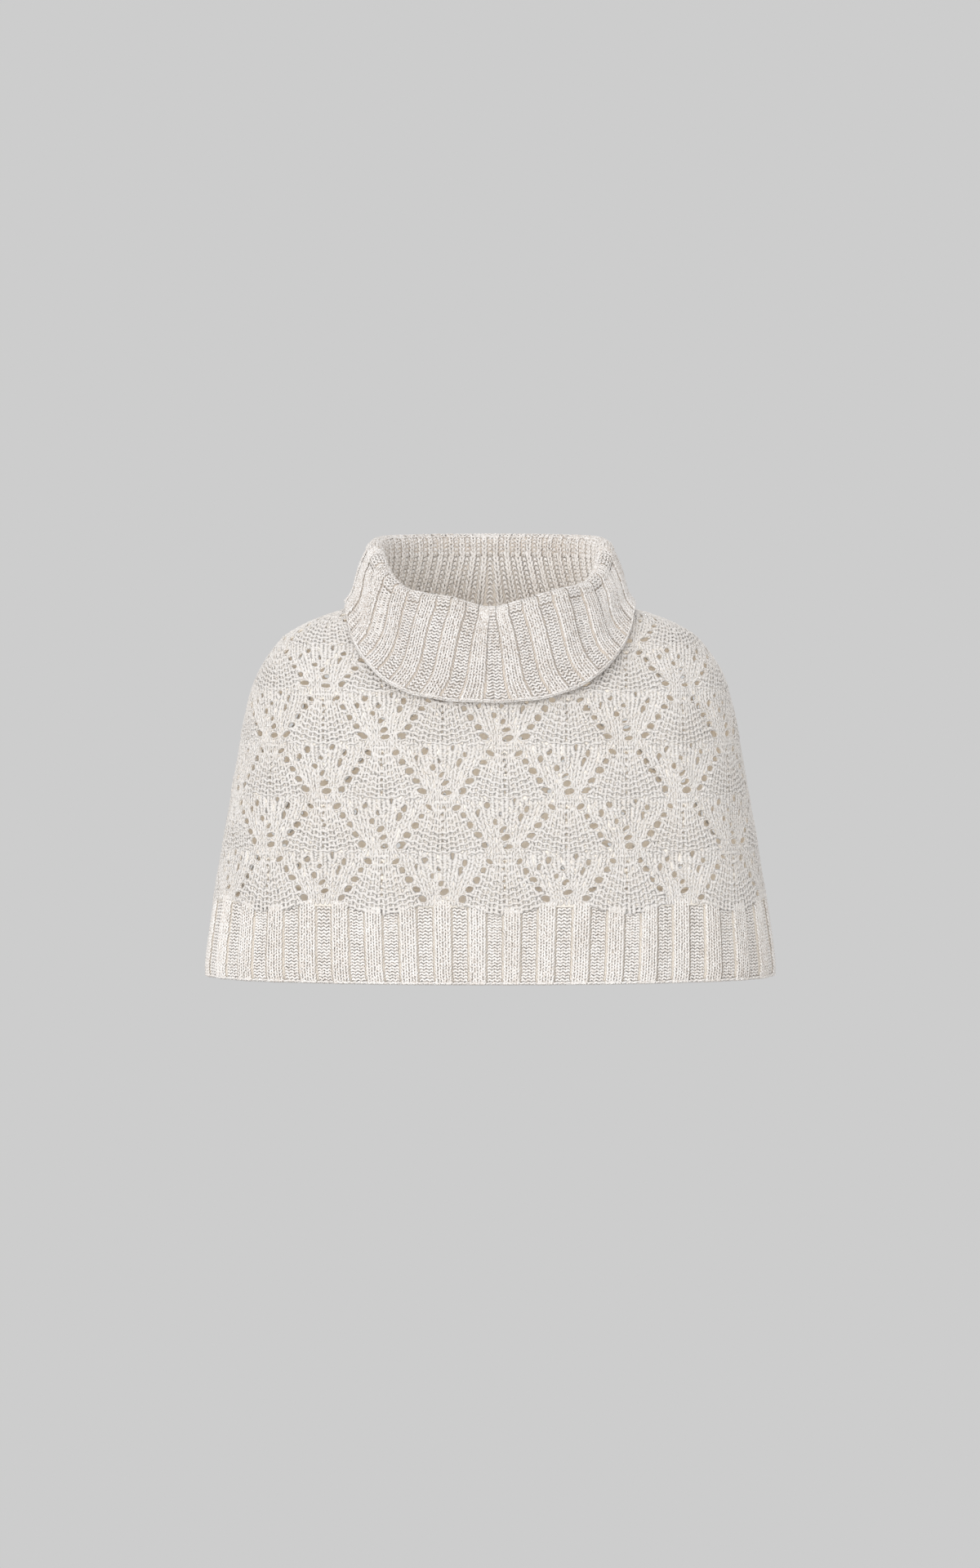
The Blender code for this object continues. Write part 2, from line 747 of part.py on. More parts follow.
def standing_collar():
    """The narrow-ribbed stretch inside, from the neckline up to the wide rib."""
    pairs, _ = ring_angles(rim_plan)
    ribs = rib_places(STAND_RIBS, 0.0, NARROW_RIB_POINTS)
    ribbed = []
    plain = []
    for level in STAND_LEVELS:
        row = [(angle_at(pairs, place), STAND_RIB_RISE * (1 - rise)) for place, rise in ribs]
        ribbed.append([stand_point(angle, level, depth) for angle, depth in row])
        depth = STAND_RIB_RISE + RIB_WALL
        plain.append([stand_point(angle, level, depth) for angle, _ in row[::2]])
    return ribbed_wall("collar_stand", ribbed, plain, True, "collar_inside_yarn")


def main():
    for leftover in list(bpy.data.objects):
        bpy.data.objects.remove(leftover, do_unlink=True)
    for place, side in (("front", -1), ("back", 1)):
        lace_panel(f"body_{place}", side)
        hem_band(f"hem_{place}", side)
    turned_collar()
    standing_collar()


main()
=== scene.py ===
"""Studio scene of a pull-on knitted capelet with a folded roll neck, in the form it has when worn.

Each maker's piece is a thin knitted ground in the form of the solid that it replaces, with the
yarn of its stitches laid on it one leg at a time. The stitches follow a chart of their own:
fan lace on the body, three by three rib on hem and collar, one by one rib inside the neck.

+X is to the right of the picture, the front faces -Y, +Z is up. Tables are in millimetres,
with heights above the hem's lower edge.
"""
import math
from functools import partial

import bmesh
import bpy
import numpy as np
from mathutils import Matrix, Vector
from mathutils.geometry import delaunay_2d_cdt


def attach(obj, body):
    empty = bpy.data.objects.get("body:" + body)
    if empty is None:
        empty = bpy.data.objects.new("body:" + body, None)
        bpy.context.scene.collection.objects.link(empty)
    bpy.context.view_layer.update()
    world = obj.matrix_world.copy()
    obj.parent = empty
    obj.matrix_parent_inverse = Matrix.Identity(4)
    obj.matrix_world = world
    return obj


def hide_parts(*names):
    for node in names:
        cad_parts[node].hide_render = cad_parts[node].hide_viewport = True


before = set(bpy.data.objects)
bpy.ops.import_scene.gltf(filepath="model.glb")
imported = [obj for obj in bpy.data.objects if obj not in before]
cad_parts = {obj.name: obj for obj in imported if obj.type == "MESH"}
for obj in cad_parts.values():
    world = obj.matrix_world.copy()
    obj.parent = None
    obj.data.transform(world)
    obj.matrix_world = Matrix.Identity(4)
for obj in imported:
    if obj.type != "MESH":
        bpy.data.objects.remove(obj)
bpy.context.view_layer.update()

MM = 0.001
HOLD_HEIGHT = 343.0         # neck base, the origin, above the hem's lower edge
HEM_HEIGHT = 71.0
SEAM_GAP = 0.3              # clearance between pieces that are sewn together
SECTION_POWER = 2.25        # roundness of the body's horizontal sections

# Body sections, outside of the cloth
BODY_SECTIONS = (
    # height, half_width, front_depth, back_depth
    (0.0, 265.0, 140.0, 138.0),
    (12.0, 265.6, 140.0, 138.0),
    (73.0, 257.0, 137.0, 136.0),
    (149.0, 244.2, 132.5, 132.0),
    (225.0, 231.0, 123.0, 126.0),
    (256.0, 224.6, 114.5, 120.5),
    (271.0, 220.2, 107.5, 116.5),
    (286.0, 213.6, 98.5, 110.5),
    (301.0, 204.0, 88.0, 102.5),
    (316.0, 191.0, 77.0, 92.5),
    (324.0, 178.5, 71.5, 87.0),
    (332.0, 161.5, 66.0, 81.0),
    (339.5, 139.5, 60.5, 75.0),
    (348.0, 110.0, 54.0, 66.0),
    (356.0, 78.0, 46.0, 56.0),
)
NECK_PLAN = (112.0, 101.0, 80.0, 2.5)       # half width, front depth, back depth, roundness
RIM_PLAN = (98.0, 86.0, 75.0, 2.0)
EDGE_PLAN = (135.5, 124.0, 108.0, 3.1)

# Soft hollows of the body that run down from the shoulders
DRAPE_HOLLOWS = (
    # side (-1 front, 1 back), place at the top, place at the hem, half spread, depth
    (-1, -118.0, -176.0, 46.0, 2.6),
    (-1, 126.0, 188.0, 42.0, 2.2),
    (1, -96.0, -150.0, 50.0, 3.0),
    (1, 4.0, 12.0, 44.0, 2.4),
    (1, 112.0, 170.0, 46.0, 2.8),
)
DRAPE_TOP = 300.0           # height at which the hollows start
DRAPE_ONSET = 3.0           # how soon they are at their full depth on the way down
SLACK_FLARE = 0.35          # how much wider a trough or ridge is at its soft end

# Slack of the knit: shallow troughs (in) and ridges (out), each softer at one end
SLACK_FOLDS = (
    # side, across, height, half length, half spread, turn from upright in degrees, depth
    (-1, -212.0, 262.0, 60.0, 16.0, 24.0, 1.3),
    (-1, -188.0, 236.0, 74.0, 15.0, 20.0, -1.1),
    (-1, -60.0, 214.0, 80.0, 22.0, 62.0, 1.0),
    (-1, 44.0, 196.0, 90.0, 24.0, -70.0, 0.9),
    (-1, 205.0, 258.0, 64.0, 17.0, -26.0, 1.4),
    (-1, 176.0, 222.0, 82.0, 16.0, -18.0, -1.2),
    (-1, -262.0, 120.0, 70.0, 18.0, 8.0, 1.2),
    (-1, 254.0, 128.0, 62.0, 20.0, -10.0, 1.1),
    (1, -205.0, 250.0, 70.0, 18.0, 26.0, 1.5),
    (1, -176.0, 214.0, 84.0, 17.0, 16.0, -1.2),
    (1, -20.0, 224.0, 66.0, 26.0, 78.0, 1.2),
    (1, 66.0, 180.0, 90.0, 22.0, -58.0, 1.0),
    (1, 196.0, 246.0, 62.0, 18.0, -24.0, 1.4),
    (1, 246.0, 150.0, 70.0, 22.0, -8.0, 1.2),
    (1, -250.0, 118.0, 66.0, 20.0, 9.0, 1.3),
)

# Collar, as the table of its rim heights, its lower edge and how it swings out
RIM_HEIGHTS = (
    # degrees from centre front, height on the left, height on the right
    (0.0, 347.0, 347.0),
    (19.0, 355.5, 354.5),
    (35.0, 359.0, 362.0),
    (49.0, 364.0, 365.5),
    (61.0, 375.0, 371.0),
    (75.0, 391.0, 385.0),
    (88.0, 402.0, 400.5),
    (105.0, 407.0, 406.5),
    (140.0, 408.0, 408.0),
    (180.0, 408.0, 408.0),
)
EDGE_HEIGHTS = (
    # degrees from centre front, height on the left, height on the right
    (0.0, 261.0, 261.0),
    (15.0, 265.0, 266.0),
    (30.0, 274.0, 277.0),
    (45.0, 290.0, 293.0),
    (60.0, 309.0, 311.0),
    (75.0, 328.0, 330.0),
    (90.0, 341.0, 341.0),
    (120.0, 336.0, 336.0),
    (150.0, 325.0, 325.0),
    (180.0, 321.0, 321.0),
)
EDGE_STAND_OFF = 5.5        # least height of the lower edge over the body
TURNOVER_PROFILE = (
    # share of the way down, share of the way out
    (0.0, 0.0),
    (0.18, 0.22),
    (0.42, 0.42),
    (0.78, 0.66),
    (1.0, 1.0),
)
COLLAR_FOLDS = (
    # degrees from centre front (left below zero), half spread, share of the way down, depth
    (-48.0, 13.0, 0.45, 3.2),
    (-74.0, 11.0, 0.55, 2.6),
    (-26.0, 12.0, 0.35, -1.6),
    (40.0, 12.0, 0.40, 1.8),
    (67.0, 10.0, 0.55, 2.8),
    (118.0, 16.0, 0.50, 2.4),
    (163.0, 18.0, 0.45, 2.8),
    (-132.0, 17.0, 0.50, 2.6),
)
COLLAR_FOLD_REACH = 0.42    # share of the way down over which a fold fades
FOLD_RADIUS = 8.8           # outer radius of the fold over the rim
INNER_LEG = 11.0            # wide rib below the fold on the inside
NECK_GAP = 0.8              # under the standing collar, over the body's neck edge
LEG_GAP = 0.5               # over it, under the inner leg
STAND_BOW = 3.0             # how far it bows towards the neck half way up
LEG_END, FOLD_END, EDGE_END = 1.0, 2.0, 3.0     # stations along the collar's cloth

# Ribs: counts, rises and places on front and back halves of the hem, and round the collar
HEM_RIBS = 20
HEM_RIB_RISE = 2.0
HEM_RIB_PHASE = -3.4        # how far along the band its ribs are shifted
HEM_RIB_LEAN = 7.0          # how far they lean to the middle at the lower edge, at most
COLLAR_RIBS = 24
COLLAR_RIB_RISE = 1.8
COLLAR_RIB_PHASE = -2.7
COLLAR_RIB_BOW = 4.0        # how far they bend aside half way down, at the collar's corners
COLLAR_RIB_START = (1.45, 2.12)     # stations where its ribs begin to rise and stand in full
STAND_RIBS = 54
STAND_RIB_RISE = 1.2
RIB_WALL = 3.0
WIDE_RIB = (
    # middle of a wale as a share of the rib's width, whether it is a knit wale
    (0.08, False), (0.24, False), (0.40, False), (0.58, True), (0.74, True), (0.90, True),
)
NARROW_RIB = ((0.0, False), (0.5, True))
WIDE_RISE = (0.44, 0.54, 0.94, 1.04)        # where the rib rises, stands and falls
NARROW_RISE = (0.12, 0.36, 0.64, 0.88)

# Rows of stitches
HEM_ROWS = 25
HEM_TUCK = 2.5              # how far its ground runs up behind the lace
HEM_OVERRUN = 0.03          # a wale may start this share of a rib past the side seam
HEM_LOWEST = 0.3            # lowest height at which a stitch is laid
LEG_ROWS, FOLD_ROWS, TURN_ROWS = 3, 8, 28
INSIDE_ROWS = 6             # first rows of the collar, which carry on the narrow rib of its stand
STAND_ROWS = 13
STAND_TOP = 1.06            # its last row reaches over the wide rib above it

# Cords of the two free edges: the levels of their rows, and how far each stands off the ground
HEM_EDGE = ((1.5, 1.3), (0.2, -0.4))
COLLAR_EDGE = ((2.985, 1.2), (3.0, -0.3))
HEM_EDGE_LEAN, COLLAR_EDGE_LEAN = 0.5, 0.004    # how far the ends of each turn lie up and down
EDGE_REACH = 0.58           # half of one turn of the cord, in wales
EDGE_YARN = 2.1             # width and thickness of a cord

# Fan lace: a chart of 16 wales by 24 rows, the fans set half a repeat aside in every other row
REPEAT_WIDTH = 114.0
HALF_REPEAT_HEIGHT = 50.3
HALF_WALES, HALF_ROWS = 8, 12
LACE_WALE = REPEAT_WIDTH / (2 * HALF_WALES)
LACE_ROW = HALF_REPEAT_HEIGHT / HALF_ROWS
TIP_ACROSS = 70.5           # a fan's tip on the hem band, from the centre front
ROW_WAVE = 3.6              # how far the rows of stitches dip in a fan and rise between two
FAN_DIP = 5.0               # how far they sag more in a fan, in arcs round its tip
DIP_RUN = (2.0, 18.0, 42.0, 68.0)   # below the tip, where the sag starts, is full, eases and ends
DIP_WIDEST = 44.0
WALE_SWAY = 0.85            # how far the wales bend round a fan, in stitches
FAN_TIP = 5.5               # half width of a fan at its tip
FAN_SPREAD = 0.74           # what it gains with each millimetre down
FAN_RIDGES = 10             # ridges of the garter stitch in a fan's height
UNDER_FAN = 0.7             # rows by which plain stitches run up behind a fan's lowest ridge
BASE_RELIEF = 0.3           # how much prouder the ridges stand at a fan's base
BASE_RUN = (0.35, 0.7)      # shares of a fan's height from its tip, where that begins and is full
ROW_SPREAD = (0.75, 1.25)   # limits of how close and how far apart the rows lie, for their yarn
LACE_FOOT = (66.0, 73.0)    # heights between which the lowest stitches lap over the hem
SPARE_WALES = 12            # laid out past the panel's sides, for the outline to choose from
SPARE_ROWS = 2              # the same over its top
SEAM_WAVE = 3.0             # how far the seam on the hem lifts at a fan's tip and falls between two
SEAM_WAVE_REACH = 20.0      # how far up and down the cloth that fades away

# Eyelets of half a repeat, from the tip where two fans meet
FAN_EYELETS = (
    # across and up from the tip, half width, half height, turn: down a fan's side, right hand
    (13.0, -7.7, 4.3, 2.6, 28.0),
    (19.4, -16.2, 3.7, 3.5, 0.0),
    (25.8, -24.8, 4.2, 3.2, -8.0),
    (32.3, -33.6, 4.3, 3.1, -14.0),
    (38.5, -42.4, 5.2, 3.2, -14.0),
)
STACK_EYELETS = (
    # across and up from the tip, half width, half height, turn: over the tip, between two fans
    (3.0, 6.2, 5.2, 2.9, 8.0),
    (1.5, 14.5, 4.8, 2.7, 16.0),
    (-0.8, 22.4, 4.0, 2.4, 34.0),
    (-9.1, 28.9, 3.0, 3.0, 0.0),
    (-3.0, 36.5, 2.6, 2.8, 0.0),
    (-24.3, 37.2, 2.7, 4.2, -15.0),
    (-16.0, 44.1, 3.1, 3.7, -28.0),
    (9.1, 47.1, 2.9, 3.5, -15.0),
    (16.0, 33.4, 2.8, 4.5, -18.0),
    (20.5, 41.8, 2.7, 3.6, -10.0),
)
SPINE_EYELETS = (
    # the small gaps down the middle of a fan
    (0.2, -8.6, 1.7, 1.5, 0.0),
    (-0.3, -14.2, 1.8, 1.6, 0.0),
    (0.3, -20.0, 1.9, 1.7, 0.0),
    (0.1, -26.2, 1.9, 1.7, 0.0),
    (-0.3, -32.6, 1.9, 1.6, 0.0),
    (0.1, -38.8, 1.8, 1.5, 0.0),
    (-0.2, -44.6, 1.6, 1.4, 0.0),
)
EYELET_SIDES = 8            # corners of each hole in the ground
EYELET_STRAY = 0.4          # how far the eyelets stray from their places in the chart
EYELET_SIZES = (0.76, 1.1)  # smallest and largest, beside their size in the chart
EYELET_SWING = 6.0          # how far they turn, in degrees
EYELET_MARGIN = 2.5         # cloth that is left between an eyelet and the panel's edge
SMALL_EYELET = 2.0          # an eyelet narrower than this each side has no strands of its own
EYELET_PUSH = 1.25          # how far the yarn is held off an eyelet, in its own half sizes
EYELET_REACH = 2.4          # how far round it the stitches are pushed aside
SHORTEST_LEG = 0.3          # a leg cut shorter than this share of itself is left out
SEAM_TAKE_IN = 1.8          # legs this far past a side seam are drawn in to it
SEAM_CLEAR = 1.0            # how near the seam their ends may then come
LACE_JITTER = 0.25          # hand of the knitter: how far the ends of legs stray
RIB_JITTER = 0.045          # the same on the ribs, in wales and rows
STRAND_LEGS = 8             # legs of the strand round an eyelet
STRAND_OFF = 0.9            # how far outside the eyelet's edge it runs
STRAND_LIFT = 0.1           # how far it stands over the ground
STRAND_YARN = 1.9           # its width and thickness
STRAND_SHADES = (-1.0, 0.6)     # limits of its shade, a little darker than those of the legs

# Yarn: widths and thicknesses as laid, and how deep each layer lies under the solid's surface
LACE_GROUND = (0.75, 2.5)   # outer and inner face of the ground
RIB_GROUND = (1.1, 2.8)
STAND_GROUND = (1.0, 2.8)
LEG_SHAPES = {
    # width and thickness of a leg, and how far it stands over the ground
    "lace": {"knit": (3.75, 1.4, 0.1), "ridge": (3.65, 1.45, 0.48), "sunk": (3.1, 1.5, 0.2)},
    "rib": {"knit": (2.55, 2.0, 0.55), "purl": (2.6, 1.6, 0.85)},
    "narrow": {"knit": (3.1, 2.0, 0.6), "purl": (2.8, 1.7, 0.6)},
}
LEG_TILT = 0.3              # how far a leg's lower end stands proud of its middle
KNIT_LEG = ((0.12, -0.62), (0.37, 0.62))    # from and to, in wales and rows from the middle
PURL_LEG = ((0.51, -0.36), (-0.02, 0.36))
RIDGE_LEG = ((0.51, -0.2), (-0.02, 0.2))
SUNK_LEG = ((0.29, -0.45), (0.24, 1.0))
SLIT_LEG = 0.5              # purl legs beside a knit wale are shorter, for the slit along it
LACE_OVERLAP, RIB_OVERLAP = 1.25, 1.28      # lengths of legs beside the way from end to end
STRAND_OVERLAP, EDGE_OVERLAP = 1.5, 1.16
LEG_SHADES = (-1.0, 1.0)    # limits of the shade that each leg gets by chance
LACE_HAND = (0.12, 0.22)    # how uneven the legs are, and how far each is twisted, in radians
STRAND_HAND = (0.14, 0.3)
RIB_HAND = (0.08, 0.15)

# Steps of the curves and grids that the sizes above are laid on
NORMAL_STEP = 2.0
ANGLE_STEP = math.radians(0.8)
STATION_STEP = 0.02
HALVINGS = 30               # of a span of heights, in the search for the body's surface
SECTION_HEIGHTS = np.arange(-6.0, 357.0, 1.0)
SHARES = np.linspace(0.0, 1.0, 241)
ANGLES = np.linspace(-math.pi, math.pi, 721)
CLOTH_HEIGHTS = np.arange(HEM_HEIGHT, 352.0, 4.0)
QUARTER_POINTS = 321        # on a quarter of a section
WIDE_STEPS, NARROW_STEPS = 12, 6        # steps of a ground over one rib
HEM_LEVELS, STAND_LEVELS = 12, 8        # rows of points up a ground
COLLAR_STATIONS = np.concatenate([
    np.linspace(0.0, LEG_END, 3),
    np.linspace(LEG_END, FOLD_END, 9)[1:],
    np.linspace(FOLD_END, EDGE_END, 15)[1:]])
GROUND_STEP = 8.0           # spacing of the lace ground's own points
GROUND_ROW = 0.87           # from row to row of them, in steps
GROUND_MARGIN = 1 / 3       # their least distance from the outline, in steps
GROUND_CLEAR = 1.5          # and from an eyelet's middle, in its own half sizes
EYELET_FREE = 0.88          # a face whose middle is nearer than this lies in the eyelet
MERGE_WITHIN = 1e-5         # points nearer than this are one
OUTLINE_STEP = 6.0
NECKLINE_STEPS = 64

CHANCE = np.random.default_rng(20)


def unit(vectors):
    """The same directions with a length of one."""
    return vectors / np.maximum(np.linalg.norm(vectors, axis=-1, keepdims=True), 1e-12)


def smooth_bump(distance):
    """One at the middle, falling softly to nought at a distance of one."""
    return np.where(np.abs(distance) < 1, (1 - distance ** 2) ** 2, 0.0)


def smooth_step(value, low, high):
    """Nought below low, one above high, and a soft slope between."""
    t = np.clip((value - low) / (high - low), 0.0, 1.0)
    return t * t * (3 - 2 * t)


def curve_value(rows, place, column):
    """One column of a table at many places, on a smooth curve through its rows."""
    rows = np.array(rows, float)
    at, value = rows[:, 0], rows[:, column]
    number = np.arange(len(at))
    before, after = np.maximum(number - 1, 0), np.minimum(number + 1, len(at) - 1)
    slope = (value[after] - value[before]) / (at[after] - at[before])
    k = np.clip(np.searchsorted(at, place) - 1, 0, len(at) - 2)
    span = at[k + 1] - at[k]
    t = np.clip((place - at[k]) / span, 0.0, 1.0)
    start = value[k] * (1 + 2 * t) * (1 - t) ** 2 + slope[k] * span * t * (1 - t) ** 2
    end = value[k + 1] * (3 - 2 * t) * t ** 2 - slope[k + 1] * span * (1 - t) * t ** 2
    return start + end


def lengths_along(points):
    """Lengths from the first point of a line to each of its points."""
    steps = np.linalg.norm(np.diff(points, axis=0), axis=1)
    return np.concatenate([[0.0], np.cumsum(steps)])


def facing(surface, place, level, step, rise):
    """Directions out of a surface, from its points a small step away on each side."""
    run = surface(place + step, level) - surface(place - step, level)
    up = surface(place, level + rise) - surface(place, level - rise)
    return unit(np.cross(up, run))


def section_table(side):
    """Plan points of the body by height and share of the way to the seam, and the seam lengths."""
    turns = np.linspace(0.0, math.pi / 2, QUARTER_POINTS)
    half = curve_value(BODY_SECTIONS, SECTION_HEIGHTS, 1)[:, None]
    depth = curve_value(BODY_SECTIONS, SECTION_HEIGHTS, 2 if side < 0 else 3)[:, None]
    x = half * np.abs(np.sin(turns)) ** (2 / SECTION_POWER)
    y = depth * np.abs(np.cos(turns)) ** (2 / SECTION_POWER)
    reached = np.cumsum(np.hypot(np.diff(x), np.diff(y)), axis=1)
    reached = np.concatenate([np.zeros((len(x), 1)), reached], axis=1)
    spread = [[np.interp(SHARES * run[-1], run, row) for run, row in zip(reached, part)]
              for part in (x, y)]
    return np.array(spread[0]), np.array(spread[1]), reached[:, -1]


SECTIONS = {side: section_table(side) for side in (-1, 1)}


def seam_length(side, height):
    """Length round the cloth from the centre line to the side seam."""
    return np.interp(height, SECTION_HEIGHTS, SECTIONS[side][2])


def section_point(side, share, height):
    """Points of the plain body at a share of the way to the seam (left below zero)."""
    xs, ys, _ = SECTIONS[side]
    row = np.clip(height - SECTION_HEIGHTS[0], 0.0, len(SECTION_HEIGHTS) - 1.001)
    column = np.clip(np.abs(share), 0.0, 1.0) * (len(SHARES) - 1.0001)
    i, j = row.astype(int), column.astype(int)
    f, g = row - i, column - j

    def mixed(table):
        low = table[i, j] * (1 - g) + table[i, j + 1] * g
        high = table[i + 1, j] * (1 - g) + table[i + 1, j + 1] * g
        return low * (1 - f) + high * f

    return np.stack([np.sign(share) * mixed(xs), side * mixed(ys), height], axis=-1)


def drape(side, across, height):
    """How far the cloth lies in from its plain section, in the long hollows and the slack."""
    total = np.zeros_like(across)
    down = np.maximum(0.0, 1 - height / DRAPE_TOP)
    for hollow_side, top, hem, spread, depth in DRAPE_HOLLOWS:
        if hollow_side == side:
            middle = top + (hem - top) * down
            fade = np.minimum(1.0, DRAPE_ONSET * down)
            total = total + depth * fade * smooth_bump((across - middle) / spread)
    for fold_side, middle, level, half, spread, turn, depth in SLACK_FOLDS:
        if fold_side == side:
            cos, sin = math.cos(math.radians(turn)), math.sin(math.radians(turn))
            along = (height - level) * cos + (across - middle) * sin
            aside = (across - middle) * cos - (height - level) * sin
            width = spread * (1 + SLACK_FLARE * along / half)
            total = total + depth * smooth_bump(along / half) * smooth_bump(aside / width)
    return total


def body_cloth(side, across, height, depth=0.0):
    """Points at a depth under the body's outer surface, and the directions out of the cloth."""
    across, height, depth = np.broadcast_arrays(across, height, depth)
    length = seam_length(side, height)
    share = np.clip(across / length, -1.0, 1.0)

    def surface(share, height):
        return section_point(side, share, height)

    outwards = side * facing(surface, share, height, NORMAL_STEP / length, NORMAL_STEP)
    sunk = depth + drape(side, across, height)
    return surface(share, height) - outwards * sunk[..., None], outwards


def cloth_lengths(side):
    """Lengths up the cloth to CLOTH_HEIGHTS, on the line halfway to the side seam."""
    points = section_point(side, np.full(len(CLOTH_HEIGHTS), 0.5), CLOTH_HEIGHTS)
    return HEM_HEIGHT + lengths_along(points)


CLOTH_LENGTHS = {side: cloth_lengths(side) for side in (-1, 1)}


def height_at(side, up):
    """Height of a length up the cloth."""
    return np.where(up < HEM_HEIGHT, up, np.interp(up, CLOTH_LENGTHS[side], CLOTH_HEIGHTS))


def plan_point(plan, angle):
    """Points of a rounded ring; the angle runs from centre front (0) to the right side."""
    half_width, front_depth, back_depth, power = plan
    sin, cos = np.sin(angle), np.cos(angle)
    depth = np.where(cos > 0, front_depth, back_depth)
    x = half_width * np.sign(sin) * np.abs(sin) ** (2 / power)
    y = -depth * np.sign(cos) * np.abs(cos) ** (2 / power)
    return np.stack([x, y], axis=-1)


def plan_outwards(plan, angle):
    """Outward direction of a plan ring."""
    along = plan_point(plan, angle + ANGLE_STEP) - plan_point(plan, angle - ANGLE_STEP)
    return unit(np.stack([along[..., 1], -along[..., 0]], axis=-1))


def body_height_over(flat):
    """Heights at which the body's outer surface passes through plan points."""
    low = np.full(flat.shape[:-1], BODY_SECTIONS[0][0])
    high = np.full(flat.shape[:-1], BODY_SECTIONS[-1][0])
    for _ in range(HALVINGS):
        middle = (low + high) / 2
        half, front, back = (curve_value(BODY_SECTIONS, middle, column) for column in (1, 2, 3))
        depth = np.where(flat[..., 1] < 0, front, back)
        reach = np.abs(flat[..., 0] / half) ** SECTION_POWER \
            + np.abs(flat[..., 1] / depth) ** SECTION_POWER
        low = np.where(reach < 1, middle, low)
        high = np.where(reach < 1, high, middle)
    return low


def side_value(rows, angle):
    """Value of a table with a left and a right column, at angles from centre front."""
    mirrored = ((-rows[1][0],) + rows[1][1:],) + rows
    left, right = (curve_value(mirrored, np.abs(np.degrees(angle)), column) for column in (1, 2))
    return np.where(np.sin(angle) < 0, left, right)


def edge_heights():
    """Heights of the collar's lower edge, resting just clear of the shoulders."""
    hidden = plan_point(EDGE_PLAN, ANGLES) \
        - plan_outwards(EDGE_PLAN, ANGLES) * (RIB_WALL + COLLAR_RIB_RISE)
    return np.maximum(side_value(EDGE_HEIGHTS, ANGLES), body_height_over(hidden) + EDGE_STAND_OFF)


NECK_HEIGHTS = body_height_over(plan_point(NECK_PLAN, ANGLES))
EDGE_RING = edge_heights()
RIM_RING = side_value(RIM_HEIGHTS, ANGLES)


def wrapped(angle):
    """The same angle between minus and plus half a turn."""
    return (angle + math.pi) % (2 * math.pi) - math.pi


def around(ring, angle):
    """Value at an angle of a ring given at ANGLES."""
    return np.interp(wrapped(angle), ANGLES, ring)


def collar_crest(angle, station):
    """Points on the collar's rib crests, from the inner leg over the fold to the lower edge."""
    angle, station = np.broadcast_arrays(angle, np.clip(station, 0.0, EDGE_END))
    inner = plan_point(RIM_PLAN, angle)
    outwards = plan_outwards(RIM_PLAN, angle)
    middle = around(RIM_RING, angle) - FOLD_RADIUS
    turn = math.pi * np.clip(station - LEG_END, 0.0, 1.0)
    down = np.clip(station - FOLD_END, 0.0, 1.0)
    fold_flat = inner + outwards * (FOLD_RADIUS * (1 - np.cos(turn)))[..., None]
    out_share = curve_value(TURNOVER_PROFILE, down, 1)[..., None]
    start = inner + outwards * FOLD_RADIUS * 2
    pressed = np.zeros_like(down)
    for place, spread, level, depth in COLLAR_FOLDS:
        apart = (np.degrees(angle) - place + 180.0) % 360.0 - 180.0
        fade = smooth_bump((down - level) / COLLAR_FOLD_REACH)
        pressed = pressed + depth * smooth_bump(apart / spread) * fade
    turned_flat = start + (plan_point(EDGE_PLAN, angle) - start) * out_share \
        - outwards * pressed[..., None]
    flat = np.where((station > FOLD_END)[..., None], turned_flat, fold_flat)
    height = middle + FOLD_RADIUS * np.sin(turn)
    height = np.where(station < LEG_END, middle - INNER_LEG * (LEG_END - station), height)
    fallen = middle + (around(EDGE_RING, angle) - middle) * down
    height = np.where(station > FOLD_END, fallen, height)
    return np.concatenate([flat, height[..., None]], axis=-1)


def collar_cloth(angle, station, depth=0.0):
    """Points of the collar at a depth under its rib crests, and the directions out of it."""
    angle, station, depth = np.broadcast_arrays(angle, station, depth)
    outwards = facing(collar_crest, angle, station, ANGLE_STEP, STATION_STEP)
    return collar_crest(angle, station) - outwards * depth[..., None], outwards


def stand_crest(angle, level, depth):
    """Points of the standing collar at a level up it and a depth under its rib crests."""
    outwards = plan_outwards(RIM_PLAN, angle)
    base = plan_point(NECK_PLAN, angle) - outwards * (RIB_WALL + STAND_RIB_RISE)
    top = collar_crest(angle, np.zeros_like(angle))
    flat = base + (top[..., :2] - base) * level[..., None]
    flat = flat + outwards * (depth - STAND_BOW * np.sin(math.pi * level))[..., None]
    low = around(NECK_HEIGHTS, angle) + NECK_GAP
    high = top[..., 2] - LEG_GAP
    return np.concatenate([flat, (low + (high - low) * level)[..., None]], axis=-1)


def stand_cloth(angle, level, depth=0.0):
    """Points of the standing collar, and the directions from it towards the neck."""
    angle, level, depth = np.broadcast_arrays(angle, level, depth)

    def surface(angle, level):
        return stand_crest(angle, level, depth)

    return surface(angle, level), facing(surface, angle, level, ANGLE_STEP, STATION_STEP)


def ring_places(points):
    """Shares of the girth at ANGLES, once round a ring from its back, and the girth."""
    reached = lengths_along(points)
    return reached / reached[-1], reached[-1]


def angle_at(places, share):
    """Angles at shares of the girth, running on past a whole turn."""
    return np.interp(share % 1.0, places, ANGLES) + 2 * math.pi * np.floor(share)


COLLAR_PLACES, COLLAR_GIRTH = ring_places(collar_crest(ANGLES, np.full(len(ANGLES), 2.5))[:, :2])
STAND_PLACES, STAND_GIRTH = ring_places(plan_point(RIM_PLAN, ANGLES))
COLLAR_SHIFT = (0.5 + COLLAR_RIB_PHASE / COLLAR_GIRTH) % (1 / COLLAR_RIBS)


